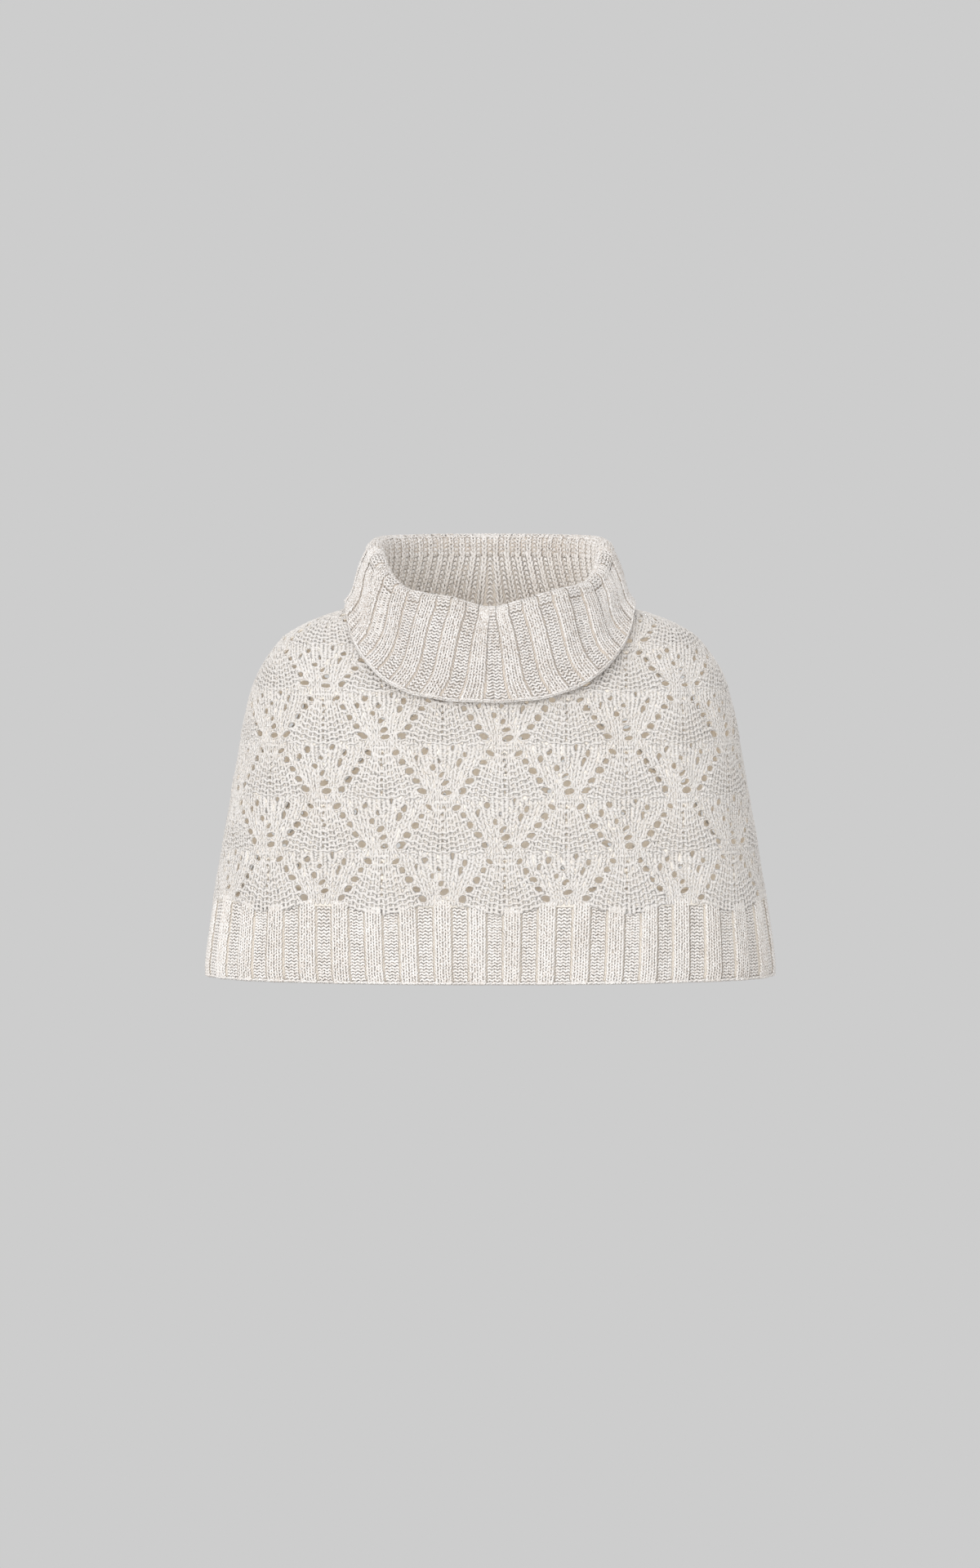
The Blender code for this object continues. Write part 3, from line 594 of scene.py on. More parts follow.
def rib_rise(place, bends):
    """Share of a rib's rise at a place in its width."""
    place = place % 1.0
    up = smooth_step(place, bends[0], bends[1])
    down = smooth_step(place, bends[2], bends[3])
    carried = 1 - smooth_step(place + 1.0, bends[2], bends[3])
    return np.maximum(up - down, carried * (bends[3] > 1))


def hem_start(side):
    """The hem band's left end, counted in ribs."""
    return -HEM_RIB_PHASE * HEM_RIBS / (2 * seam_length(side, HEM_HEIGHT / 2))


def hem_across(side, rib, level):
    """How far across the band a place lies that is counted in ribs."""
    half = seam_length(side, level) - SEAM_GAP / 2
    width = 2 * seam_length(side, HEM_HEIGHT / 2)
    share = 2 * (rib / HEM_RIBS + HEM_RIB_PHASE / width) - 1
    lean = HEM_RIB_LEAN * np.sin(math.pi * share) * (1 - level / HEM_HEIGHT)
    return share * half - lean


def hem_knit(side, rib, level, lift):
    """Points of the hem band, lifted off its ribs, and the directions out of it."""
    across = hem_across(side, rib, level)
    depth = HEM_RIB_RISE * (1 - rib_rise(rib, WIDE_RISE)) - lift
    limit = seam_length(side, level) - SEAM_GAP / 2
    return body_cloth(side, np.clip(across, -limit, limit), level, depth)


def collar_angle(rib, station):
    """Angle of a place on the collar, counted in ribs from its back."""
    place = rib / COLLAR_RIBS + COLLAR_SHIFT
    angle = angle_at(COLLAR_PLACES, place)
    down = np.clip(station - FOLD_END, 0.0, 1.0)
    bow = COLLAR_RIB_BOW / COLLAR_GIRTH * np.sin(2 * angle) * np.sin(math.pi * down)
    return angle_at(COLLAR_PLACES, place - bow)


def collar_knit(rib, station, lift):
    """Points of the wide-ribbed collar, lifted off its ribs, and the directions out of it."""
    shown = smooth_step(station, *COLLAR_RIB_START)
    depth = COLLAR_RIB_RISE * (1 - rib_rise(rib, WIDE_RISE)) * shown - lift
    return collar_cloth(collar_angle(rib, station), station, depth)


def collar_inside_knit(rib, station, lift):
    """Points of the collar where the narrow rib runs on up it, counted in narrow ribs."""
    depth = STAND_RIB_RISE * (1 - rib_rise(rib, NARROW_RISE)) / 2 - lift
    return collar_cloth(angle_at(STAND_PLACES, rib / STAND_RIBS), station, depth)


def stand_knit(rib, level, lift):
    """Points of the narrow-ribbed collar inside, and the directions towards the neck."""
    depth = STAND_RIB_RISE * (1 - rib_rise(rib, NARROW_RISE)) - lift
    return stand_cloth(angle_at(STAND_PLACES, rib / STAND_RIBS), level, depth)


def placed(points):
    """The same points in metres, in the shared frame."""
    return (np.asarray(points) - (0.0, 0.0, HOLD_HEIGHT)) * MM


def put(name, data):
    """A new object in the scene, of a mesh, a light or a camera."""
    thing = bpy.data.objects.new(name, data)
    bpy.context.collection.objects.link(thing)
    return thing


def closed_mesh(name, points, faces):
    """A smooth closed mesh with its faces out."""
    mesh = bpy.data.meshes.new(name)
    mesh.from_pydata(points, [], faces)
    body = bmesh.new()
    body.from_mesh(mesh)
    bmesh.ops.recalc_face_normals(body, faces=body.faces[:])
    body.to_mesh(mesh)
    body.free()
    mesh.shade_smooth()
    return mesh


def ground_piece(name, outer, inner, faces):
    """A thin closed wall of two like sets of points in millimetres, as an object of its own."""
    points = np.concatenate([outer.reshape(-1, 3), inner.reshape(-1, 3)])
    return put(name, closed_mesh(name, placed(points).tolist(), faces))


def ribbed_ground(name, surface, ribs, levels, layers, ring):
    """Thin ribbed ground of a piece, on a grid of places, closed round its edges."""
    rows, columns = len(levels), len(ribs)
    ribs, levels = np.meshgrid(ribs, levels)
    outer, inner = (surface(ribs, levels, -depth)[0] for depth in layers)
    number = np.arange(rows * columns).reshape(rows, columns)
    if ring:
        number = np.concatenate([number, number[:, :1]], axis=1)
    back = number + rows * columns
    faces = [np.stack([number[:-1, :-1], number[:-1, 1:], number[1:, 1:], number[1:, :-1]], -1),
             np.stack([back[:-1, :-1], back[1:, :-1], back[1:, 1:], back[:-1, 1:]], -1)]
    edges = [(number[0], back[0]), (number[-1], back[-1])]
    if not ring:
        edges += [(number[:, 0], back[:, 0]), (number[:, -1], back[:, -1])]
    faces += [np.stack([a[:-1], b[:-1], b[1:], a[1:]], -1) for a, b in edges]
    faces = np.concatenate([part.reshape(-1, 4) for part in faces])
    return ground_piece(name, outer, inner, faces.tolist())


def across_at(side, flat, height):
    """Lengths round the cloth from the centre line to plan points of the outer surface."""
    found = []
    for x, level in zip(flat[:, 0], height):
        row = int(round(float(level - SECTION_HEIGHTS[0])))
        share = np.interp(abs(x), SECTIONS[side][0][row], SHARES)
        found.append(math.copysign(share * seam_length(side, level), x))
    return np.array(found)


def lace_outline(side):
    """Closed outline of a lace panel, as lengths across and up the flat cloth."""
    half_gap = SEAM_GAP / 2
    bottom = HEM_HEIGHT + half_gap
    half = seam_length(side, bottom) - half_gap
    corner = float(around(NECK_HEIGHTS, np.array([math.pi / 2]))[0])
    top = float(np.interp(corner, CLOTH_HEIGHTS, CLOTH_LENGTHS[side]))
    foot = np.linspace(-half, half, round(2 * half / OUTLINE_STEP), endpoint=False)
    rise = np.linspace(bottom, top, round((top - bottom) / OUTLINE_STEP))
    reach = seam_length(side, height_at(side, rise)) - half_gap
    turn = np.linspace(0.0, math.pi, NECKLINE_STEPS)[1:-1]
    angle = wrapped(math.pi / 2 + side * turn)
    height = around(NECK_HEIGHTS, angle)
    across = across_at(side, plan_point(NECK_PLAN, angle), height)
    up = np.interp(height, CLOTH_HEIGHTS, CLOTH_LENGTHS[side])
    parts = ((foot, np.full(len(foot), bottom)), (reach, rise), (across, up),
             (-reach[:0:-1], rise[:0:-1]))
    return np.concatenate([np.stack(part, -1) for part in parts])


def inside(outline, points):
    """Whether flat points lie inside a closed outline."""
    a, b = outline, np.roll(outline, -1, axis=0)
    y = points[:, 1:2]
    spans = (a[:, 1] > y) != (b[:, 1] > y)
    rise = np.where(b[:, 1] == a[:, 1], 1.0, b[:, 1] - a[:, 1])
    crossing = a[:, 0] + (b[:, 0] - a[:, 0]) * (y - a[:, 1]) / rise
    return (spans & (points[:, 0:1] < crossing)).sum(axis=1) % 2 == 1


def edge_distance(outline, points):
    """Distances from flat points to the nearest edge of an outline."""
    best = np.full(len(points), np.inf)
    for a, b in zip(outline, np.roll(outline, -1, axis=0)):
        along = b - a
        t = np.clip((points - a) @ along / (along @ along), 0.0, 1.0)
        best = np.minimum(best, np.linalg.norm(a + t[:, None] * along - points, axis=1))
    return best


def lace_eyelets(outline):
    """Middles, half sizes and turns of the eyelets that a panel has room for."""
    repeat = list(STACK_EYELETS + SPINE_EYELETS)
    for across, up, half_width, half_height, turn in FAN_EYELETS:
        for hand in (-1, 1):
            repeat.append((hand * across, up, half_width, half_height, hand * turn))
    reach, top = outline.max(axis=0)
    steps = math.ceil(reach / REPEAT_WIDTH) + 1
    tips = [(TIP_ACROSS + REPEAT_WIDTH * (k + 0.5 * (row % 2)),
             HEM_HEIGHT + HALF_REPEAT_HEIGHT * row, 0.0, 0.0, 0.0)
            for row in range(math.ceil((top - HEM_HEIGHT) / HALF_REPEAT_HEIGHT) + 2)
            for k in range(-steps, steps + 1)]
    found = np.concatenate([np.array(repeat) + tip for tip in tips])
    found[:, :2] += CHANCE.normal(0.0, EYELET_STRAY, (len(found), 2))
    found[:, 2:4] *= CHANCE.uniform(*EYELET_SIZES, (len(found), 2))
    found[:, 4] += CHANCE.normal(0.0, EYELET_SWING, len(found))
    room = inside(outline, found[:, :2]) \
        & (edge_distance(outline, found[:, :2]) > found[:, 2] + EYELET_MARGIN)
    return found[room]


def to_eyelet(eyelet, points):
    """Flat points as seen from an eyelet's middle, in its own half sizes."""
    x, y, half_width, half_height, turn = eyelet
    cos, sin = math.cos(math.radians(turn)), math.sin(math.radians(turn))
    aside, up = points[..., 0] - x, points[..., 1] - y
    return np.stack([(aside * cos + up * sin) / half_width,
                     (up * cos - aside * sin) / half_height], -1)


def from_eyelet(eyelet, places):
    """Flat points from places seen from an eyelet's middle, in its own half sizes."""
    x, y, half_width, half_height, turn = eyelet
    cos, sin = math.cos(math.radians(turn)), math.sin(math.radians(turn))
    aside, up = places[..., 0] * half_width, places[..., 1] * half_height
    return np.stack([x + aside * cos - up * sin, y + aside * sin + up * cos], -1)


def clear_of(eyelets, points, far):
    """Whether flat points lie further than this from every eyelet's middle, in its half sizes."""
    clear = np.ones(len(points), bool)
    for eyelet in eyelets:
        clear &= np.linalg.norm(to_eyelet(eyelet, points), axis=1) > far
    return clear


def lace_ground(name, side, outline, eyelets):
    """Thin ground of one lace panel, with every eyelet cut through."""
    turns = np.linspace(0.0, 2 * math.pi, EYELET_SIDES, endpoint=False) + math.pi / EYELET_SIDES
    ring = np.stack([np.cos(turns), np.sin(turns)], -1)
    rings = [outline] + [from_eyelet(eyelet, ring) for eyelet in eyelets]
    half, top = outline.max(axis=0)
    columns = np.arange(-half, half, GROUND_STEP)
    levels = np.arange(HEM_HEIGHT + GROUND_STEP / 2, top, GROUND_STEP * GROUND_ROW)
    inner = np.array([(x + (GROUND_STEP / 2) * (k % 2), y)
                      for k, y in enumerate(levels) for x in columns])
    inner = inner[inside(outline, inner)
                  & (edge_distance(outline, inner) > GROUND_STEP * GROUND_MARGIN)
                  & clear_of(eyelets, inner, GROUND_CLEAR)]
    flat, edges = [], []
    for ring in rings:
        first = len(flat)
        flat += [Vector(point) for point in ring]
        edges += [(first + i, first + (i + 1) % len(ring)) for i in range(len(ring))]
    flat += [Vector(point) for point in inner]
    flat, _, faces, _, _, _ = delaunay_2d_cdt(flat, edges, [], 0, MERGE_WITHIN)
    flat = np.array([tuple(point) for point in flat])
    faces = np.array([tuple(face) for face in faces])
    middle = flat[faces].mean(axis=1)
    faces = faces[inside(outline, middle) & clear_of(eyelets, middle, EYELET_FREE)]
    used, faces = np.unique(faces, return_inverse=True)
    flat, faces = flat[used], faces.reshape(-1, 3)
    height = height_at(side, flat[:, 1])
    outer, back = (body_cloth(side, flat[:, 0], height, depth)[0] for depth in LACE_GROUND)
    directed = {(int(f[i]), int(f[(i + 1) % 3])) for f in faces for i in range(3)}
    count = len(flat)
    rims = [(b, a, a + count, b + count) for a, b in sorted(directed) if (b, a) not in directed]
    walls = faces.tolist()
    backs = (faces[:, ::-1] + count).tolist()
    return ground_piece(name, outer, back, walls + backs + rims)


def yarn_leg():
    """One leg of a stitch: a short length of yarn, fat in the middle, its ends tucked down."""
    half, shoulder, tuck = 0.5, 0.35, -0.24
    ring = ((-0.5, -0.12), (0.5, -0.12), (0.0, 0.5))
    points = [(0.0, -half, tuck)]
    points += [(x, end, z) for end in (-shoulder, shoulder) for x, z in ring]
    points.append((0.0, half, tuck))
    faces = []
    for i in range(3):
        j = (i + 1) % 3
        faces += [(0, 1 + i, 1 + j), (1 + i, 4 + i, 4 + j, 1 + j), (4 + i, 7, 4 + j)]
    mesh = closed_mesh("yarn_leg", points, faces)
    lay = mesh.uv_layers.new(name="yarn_lay")
    for loop, corner in zip(mesh.loops, lay.data):
        across, along, up = mesh.vertices[loop.vertex_index].co
        corner.uv = (0.5 + 0.5 * across + 0.25 * up, 0.5 + along)
    return put("yarn_leg", mesh)


def add_node(tree, kind, inputs=None, **settings):
    """Adds one node to a tree, with its settings, and a value or a link for each input."""
    node = tree.nodes.new(kind)
    for key, value in settings.items():
        setattr(node, key, value)
    for key, value in (inputs or {}).items():
        if isinstance(value, bpy.types.Node):
            value = value.outputs[0]
        if isinstance(value, bpy.types.NodeSocket):
            tree.links.new(value, node.inputs[key])
        else:
            node.inputs[key].default_value = value
    return node


def stitch_tree():
    """Nodes that lay a leg of yarn on every point, along the point's own direction."""
    tree = bpy.data.node_groups.new("lay_the_yarn", "GeometryNodeTree")
    sockets = (("Places", "Geometry"), ("Leg", "Object"), ("Yarn size", "Float"),
               ("Unevenness", "Float"), ("Twist", "Float"), ("Seed", "Int"),
               ("Finish", "Material"))
    for name, kind in sockets:
        tree.interface.new_socket(name, in_out="INPUT", socket_type=f"NodeSocket{kind}")
    tree.interface.new_socket("Yarn", in_out="OUTPUT", socket_type="NodeSocketGeometry")
    given = add_node(tree, "NodeGroupInput").outputs
    along, out, size = (
        add_node(tree, "GeometryNodeInputNamedAttribute", {"Name": name}, data_type="FLOAT_VECTOR")
        for name in ("along", "outwards", "size"))
    turned = add_node(tree, "FunctionNodeAxesToRotation",
                      {"Primary Axis": along, "Secondary Axis": out},
                      primary_axis="Y", secondary_axis="Z")
    less = add_node(tree, "ShaderNodeMath", {0: given["Twist"], 1: -1.0}, operation="MULTIPLY")
    twist = add_node(tree, "FunctionNodeRandomValue",
                     {"Min": less, "Max": given["Twist"], "Seed": given["Seed"]},
                     data_type="FLOAT")
    about = add_node(tree, "ShaderNodeCombineXYZ", {"Y": twist.outputs["Value"]})
    rolled = add_node(tree, "FunctionNodeRotateRotation",
                      {"Rotation": turned, "Rotate By": about}, rotation_space="LOCAL")
    low, high = (
        add_node(tree, "ShaderNodeMath", {0: 1.0, 1: given["Unevenness"]}, operation=operation)
        for operation in ("SUBTRACT", "ADD"))
    uneven = add_node(tree, "FunctionNodeRandomValue",
                      {"Min": low, "Max": high, "Seed": given["Seed"]}, data_type="FLOAT")
    grown = add_node(tree, "ShaderNodeMath",
                     {0: uneven.outputs["Value"], 1: given["Yarn size"]}, operation="MULTIPLY")
    scaled = add_node(tree, "ShaderNodeVectorMath", {0: size, "Scale": grown}, operation="SCALE")
    leg = add_node(tree, "GeometryNodeObjectInfo", {"Object": given["Leg"]},
                   transform_space="ORIGINAL")
    laid = add_node(tree, "GeometryNodeInstanceOnPoints",
                    {"Points": given["Places"], "Instance": leg.outputs["Geometry"],
                     "Rotation": rolled, "Scale": scaled})
    real = add_node(tree, "GeometryNodeRealizeInstances", {"Geometry": laid})
    dyed = add_node(tree, "GeometryNodeSetMaterial",
                    {"Geometry": real, "Material": given["Finish"]})
    add_node(tree, "NodeGroupOutput", {0: dyed})
    return tree


class Legs:
    """Legs of yarn that are waiting to be laid: their ends, directions, sizes and shades."""

    def __init__(self):
        self.rows = []

    def add(self, start, end, outwards, width, thickness, shades, overlap):
        """Takes the two ends of many legs at once, in millimetres."""
        along = end - start
        length = np.linalg.norm(along, axis=1) * overlap
        size = np.stack(np.broadcast_arrays(width, length, thickness), -1) * MM
        shade = CHANCE.uniform(*shades, len(along))[:, None]
        self.rows.append((placed((start + end) / 2), unit(along), outwards, size, shade))

    def lay(self, name, tree, leg, finish, hand, seed):
        """Lays every leg with the tree and returns one plain mesh piece."""
        middle, along, outwards, size, shade = (np.concatenate(part) for part in zip(*self.rows))
        mesh = bpy.data.meshes.new(name)
        mesh.from_pydata(middle.tolist(), [], [])
        for key, values in (("along", along), ("outwards", outwards), ("size", size)):
            part = mesh.attributes.new(key, "FLOAT_VECTOR", "POINT")
            part.data.foreach_set("vector", values.astype(np.float32).ravel())
        part = mesh.attributes.new("shade", "FLOAT", "POINT")
        part.data.foreach_set("value", shade.astype(np.float32).ravel())
        places = put(f"{name}_places", mesh)
        nodes = places.modifiers.new("lay_the_yarn", "NODES")
        nodes.node_group = tree
        given = {"Leg": leg, "Yarn size": 1.0, "Unevenness": hand[0], "Twist": hand[1],
                 "Seed": seed, "Finish": finish}
        for item in tree.interface.items_tree:
            if item.in_out == "INPUT" and item.name in given:
                nodes[item.identifier] = given[item.name]
        graph = bpy.context.evaluated_depsgraph_get()
        plain = bpy.data.meshes.new_from_object(places.evaluated_get(graph))
        plain.name = name
        for key in ("along", "outwards", "size"):
            if key in plain.attributes:
                plain.attributes.remove(plain.attributes[key])
        bpy.data.objects.remove(places, do_unlink=True)
        return put(name, plain)


def seam_wave(across, up):
    """How far the row lines lift over the fans' tips where the lace meets the hem."""
    wave = np.cos(2 * math.pi * (across - TIP_ACROSS) / REPEAT_WIDTH)
    return SEAM_WAVE * wave * np.exp(-((up - HEM_HEIGHT) / SEAM_WAVE_REACH) ** 2)


def fan_aside(across, tip):
    """How far places lie aside from the nearest fan in a row of tips, counted from the hem."""
    half = REPEAT_WIDTH / 2
    return (across - TIP_ACROSS - half * (tip % 2) + half) % REPEAT_WIDTH - half


def fan_dip(across, up):
    """How far the rows sag round the tips of the fans, in the fans and a little below them."""
    total = np.zeros_like(across)
    nearest = np.ceil((up - HEM_HEIGHT) / HALF_REPEAT_HEIGHT)
    for tip in (nearest, nearest + 1):
        below = tip * HALF_REPEAT_HEIGHT + HEM_HEIGHT - up
        width = np.minimum(FAN_TIP + FAN_SPREAD * below, DIP_WIDEST)
        run = smooth_step(below, *DIP_RUN[:2]) * (1 - smooth_step(below, *DIP_RUN[2:]))
        total = total + run * smooth_bump(fan_aside(across, tip) / width)
    return FAN_DIP * total


def chart_place(x, y):
    """Across and up, in millimetres, of a place in the lace chart, in wales and rows."""
    wave = ROW_WAVE * np.cos(math.pi * x / HALF_WALES) \
        * np.cos(math.pi * (y - HALF_ROWS / 2) / HALF_ROWS)
    sway = WALE_SWAY * np.sin(math.pi * x / HALF_WALES) * np.cos(math.pi * y / HALF_ROWS)
    across = TIP_ACROSS + (x - sway) * LACE_WALE
    up = HEM_HEIGHT + y * LACE_ROW + wave
    return np.stack([across, up + seam_wave(across, up) - fan_dip(across, up)], -1)


def chart_spread(x, y):
    """How wide the wales and how high the rows are at a place in the chart, beside their usual."""
    bend = math.pi * np.cos(math.pi * x / HALF_WALES) * np.cos(math.pi * y / HALF_ROWS)
    wide = 1 - WALE_SWAY / HALF_WALES * bend
    high = 1 + ROW_WAVE / LACE_ROW / HALF_ROWS * bend
    return wide, np.clip(high, *ROW_SPREAD)


def in_fan(x, y):
    """Whether places in the lace chart lie in a fan, below its tip."""
    across, up = chart_place(x, y).T
    tip = np.maximum(np.ceil((up - HEM_HEIGHT) / HALF_REPEAT_HEIGHT), 1.0)
    below = tip * HALF_REPEAT_HEIGHT + HEM_HEIGHT - up
    return np.abs(fan_aside(across, tip)) < FAN_TIP + FAN_SPREAD * below


def fan_base(points):
    """Nought at the tips of the fans, one at their bases, for flat points of the lace."""
    below = -(points[:, 1] - HEM_HEIGHT) % HALF_REPEAT_HEIGHT
    return smooth_step(below / HALF_REPEAT_HEIGHT, *BASE_RUN)


def push_aside(points, eyelets):
    """Flat points, moved out of the eyelets and a little away from round them."""
    points = points.copy()
    for eyelet in eyelets:
        far_enough = EYELET_REACH * max(eyelet[2:4])
        near = np.abs(points - eyelet[:2]).max(axis=1) < far_enough
        place = to_eyelet(eyelet, points[near])
        far = np.linalg.norm(place, axis=1)
        pushed = np.sqrt(far ** 2 + EYELET_PUSH ** 2 * smooth_bump(far / EYELET_REACH))
        points[near] = from_eyelet(eyelet, place * (pushed / np.maximum(far, 1e-6))[:, None])
    return points


def cut_at_eyelets(start, end, eyelets):
    """Shortens the legs that would cross an eyelet to their longer part, in place.

    Returns whether each leg is still worth laying.
    """
    worth = np.ones(len(start), bool)
    for eyelet in eyelets:
        reach = max(eyelet[2:4]) + LACE_WALE
        near = np.flatnonzero(np.abs((start + end) / 2 - eyelet[:2]).max(axis=1) < reach)
        a, b = to_eyelet(eyelet, start[near]), to_eyelet(eyelet, end[near])
        along = b - a
        square = np.maximum((along ** 2).sum(1), 1e-9)
        middle = -(a * along).sum(1) / square
        left = middle ** 2 - ((a ** 2).sum(1) - 1.0) / square
        half = np.sqrt(np.maximum(left, 0.0))
        enters, leaves = middle - half, middle + half
        crossing = (left > 0) & (leaves > 0) & (enters < 1)
        first = crossing & (enters >= 1 - leaves)
        second = crossing & ~first
        run = end[near] - start[near]
        end[near[first]] = (start[near] + run * enters[:, None])[first]
        start[near[second]] = (start[near] + run * leaves[:, None])[second]
        kept = np.where(first, enters, np.where(second, 1 - leaves, 1.0))
        worth[near[kept < SHORTEST_LEG]] = False
    return worth


def hold_at_seams(side, start, end):
    """Draws the legs that would cross a side seam in to it, in place.

    Returns whether each leg lies on the panel or just past its seam.
    """
    middle = (start + end) / 2
    worth = np.abs(middle[:, 0]) < seam_length(side, height_at(side, middle[:, 1])) + SEAM_TAKE_IN
    for place in (start, end):
        limit = seam_length(side, height_at(side, place[:, 1])) - SEAM_CLEAR
        place[:, 0] = np.clip(place[:, 0], -limit, limit)
    return worth


def lace_stitches(side, outline, eyelets):
    """The lace stitches of one panel: plain wales between the fans, garter ridges in them."""
    legs = Legs()
    half, top = outline.max(axis=0)
    columns = math.ceil(half / LACE_WALE) + SPARE_WALES
    rows = math.ceil((top - HEM_HEIGHT) / LACE_ROW) + SPARE_ROWS
    ridge = HALF_ROWS / FAN_RIDGES
    layers = (("knit", 1.0, KNIT_LEG), ("sunk", ridge, SUNK_LEG), ("ridge", ridge, RIDGE_LEG))
    for kind, pitch, ((from_x, from_y), (to_x, to_y)) in layers:
        width, thickness, lift = LEG_SHAPES["lace"][kind]
        tilt = LEG_TILT if kind == "knit" else 0.0
        levels = (np.arange(math.ceil(rows / pitch)) + 0.5) * pitch
        x, y = (part.ravel() for part in np.meshgrid(np.arange(-columns, columns + 1.0), levels))
        chosen = in_fan(x, y)
        if kind == "knit":
            chosen = ~(chosen & in_fan(x, y - UNDER_FAN))
        x, y = x[chosen], y[chosen]
        wide, high = chart_spread(x, y)
        for hand in (-1, 1):
            start = chart_place(x + hand * from_x, y + from_y * pitch)
            end = chart_place(x + hand * to_x, y + to_y * pitch)
            start, end = (push_aside(place + CHANCE.normal(0.0, LACE_JITTER, place.shape), eyelets)
                          for place in (start, end))
            worth = cut_at_eyelets(start, end, eyelets) & hold_at_seams(side, start, end)
            middle = (start + end) / 2
            at_foot = (middle[:, 1] > LACE_FOOT[0]) & (middle[:, 1] < LACE_FOOT[1])
            fits = (inside(outline, middle) | at_foot) & worth
            proud = BASE_RELIEF * fan_base(middle[fits]) if kind == "ridge" else 0.0
            depth = LACE_GROUND[0] - lift - proud
            (a, _), (b, out) = (
                body_cloth(side, place[fits, 0], height_at(side, place[fits, 1]), depth + lean)
                for place, lean in ((start, -tilt), (end, tilt)))
            girth = width * (high if kind == "ridge" else wide)[fits]
            legs.add(a, b, out, girth, thickness, LEG_SHADES, LACE_OVERLAP)
    return legs


def eyelet_strands(side, eyelets):
    """The strands of yarn that run round each eyelet."""
    legs = Legs()
    large = eyelets[eyelets[:, 2] > SMALL_EYELET]
    grown = 1 + STRAND_OFF / large[:, 2:4]
    for k in range(STRAND_LEGS):
        ends = []
        for turn in (2 * math.pi * k / STRAND_LEGS, 2 * math.pi * (k + 1) / STRAND_LEGS):
            rim = np.array([math.cos(turn), math.sin(turn)]) * grown
            flat = np.array([from_eyelet(eyelet, place) for eyelet, place in zip(large, rim)])
            ends.append(body_cloth(side, flat[:, 0], height_at(side, flat[:, 1]),
                                   LACE_GROUND[0] - STRAND_LIFT))
        (a, _), (b, out) = ends
        legs.add(a, b, out, STRAND_YARN, STRAND_YARN, STRAND_SHADES, STRAND_OVERLAP)
    return legs


def rib_wales(ribs, pattern, spare=0):
    """Middles of the wales, counted in ribs, whether each is knit, and their width in ribs."""
    places, knit = (np.array(part) for part in zip(*pattern))
    middles = (np.arange(-spare, ribs + spare)[:, None] + places).ravel()
    return middles, np.tile(knit, ribs + 2 * spare), 1.0 / len(pattern)


def rib_stitches(legs, surface, sunk, ribbing, rows, row_place, shape_name, laid=True):
    """Stitches over a ground at a depth: V-shaped legs on knit wales, low arches on purl ones."""
    wales, knit, width = ribbing
    w, r = np.meshgrid(wales, np.asarray(rows) + 0.5)
    k, fits = np.broadcast_to(knit, w.shape), np.broadcast_to(laid, w.shape)
    for kind, chosen, shape in (("knit", k, KNIT_LEG), ("purl", ~k, PURL_LEG)):
        yarn_width, thickness, lift = LEG_SHAPES[shape_name][kind]
        (from_x, from_y), (to_x, to_y) = shape
        x, y, kept = w[chosen], r[chosen], fits[chosen]
        tilt = LEG_TILT if kind == "knit" else 0.0
        for hand in (-1, 1):
            stray = CHANCE.normal(0.0, RIB_JITTER, (3, len(x)))
            beside_knit = np.broadcast_to(np.roll(knit, -hand), w.shape)[chosen]
            reach = np.where(beside_knit, SLIT_LEG, 1.0) if kind == "purl" else 1.0
            a, _ = surface(x + hand * from_x * reach * width + stray[0] * width,
                           row_place(y + from_y + stray[1]), lift + tilt - sunk)
            b, out = surface(x + hand * to_x * width + stray[2] * width,
                             row_place(y + to_y), lift - tilt - sunk)
            legs.add(a[kept], b[kept], out[kept], yarn_width, thickness, LEG_SHADES, RIB_OVERLAP)


def edge_cord(legs, surface, wales, width, rows, lean):
    """The cord of yarn along a free edge, with one turn on each wale in each of its rows."""
    reach = EDGE_REACH * width
    for level, lift in rows:
        lift = lift - RIB_GROUND[0]
        a, _ = surface(wales - reach, np.full(len(wales), level - lean), lift)
        b, out = surface(wales + reach, np.full(len(wales), level + lean), lift)
        legs.add(a, b, out, EDGE_YARN, EDGE_YARN, LEG_SHADES, EDGE_OVERLAP)


def hem_stitches(side):
    """The stitches of one half of the hem band, with its bound-off lower edge."""
    legs = Legs()
    ribbing = rib_wales(HEM_RIBS, WIDE_RIB, spare=1)
    past = ribbing[0] - hem_start(side)
    laid = (past > -HEM_OVERRUN) & (past < HEM_RIBS + HEM_OVERRUN)

    def surface(rib, level, lift):
        across = hem_across(side, rib, np.clip(level, 0.0, HEM_HEIGHT))
        lifted = np.maximum(level + seam_wave(across, level), HEM_LOWEST)
        return hem_knit(side, rib, lifted, lift)

    def row_level(row):
        return row * HEM_HEIGHT / HEM_ROWS

    rib_stitches(legs, surface, RIB_GROUND[0], ribbing, range(HEM_ROWS + 1), row_level, "rib", laid)
    edge_cord(legs, surface, ribbing[0][laid], ribbing[2], HEM_EDGE, HEM_EDGE_LEAN)
    return legs


def collar_station(row):
    """Station of a row along the collar's cloth."""
    ends = (0.0, LEG_ROWS, LEG_ROWS + FOLD_ROWS, LEG_ROWS + FOLD_ROWS + TURN_ROWS)
    return np.interp(row, ends, (0.0, LEG_END, FOLD_END, EDGE_END))


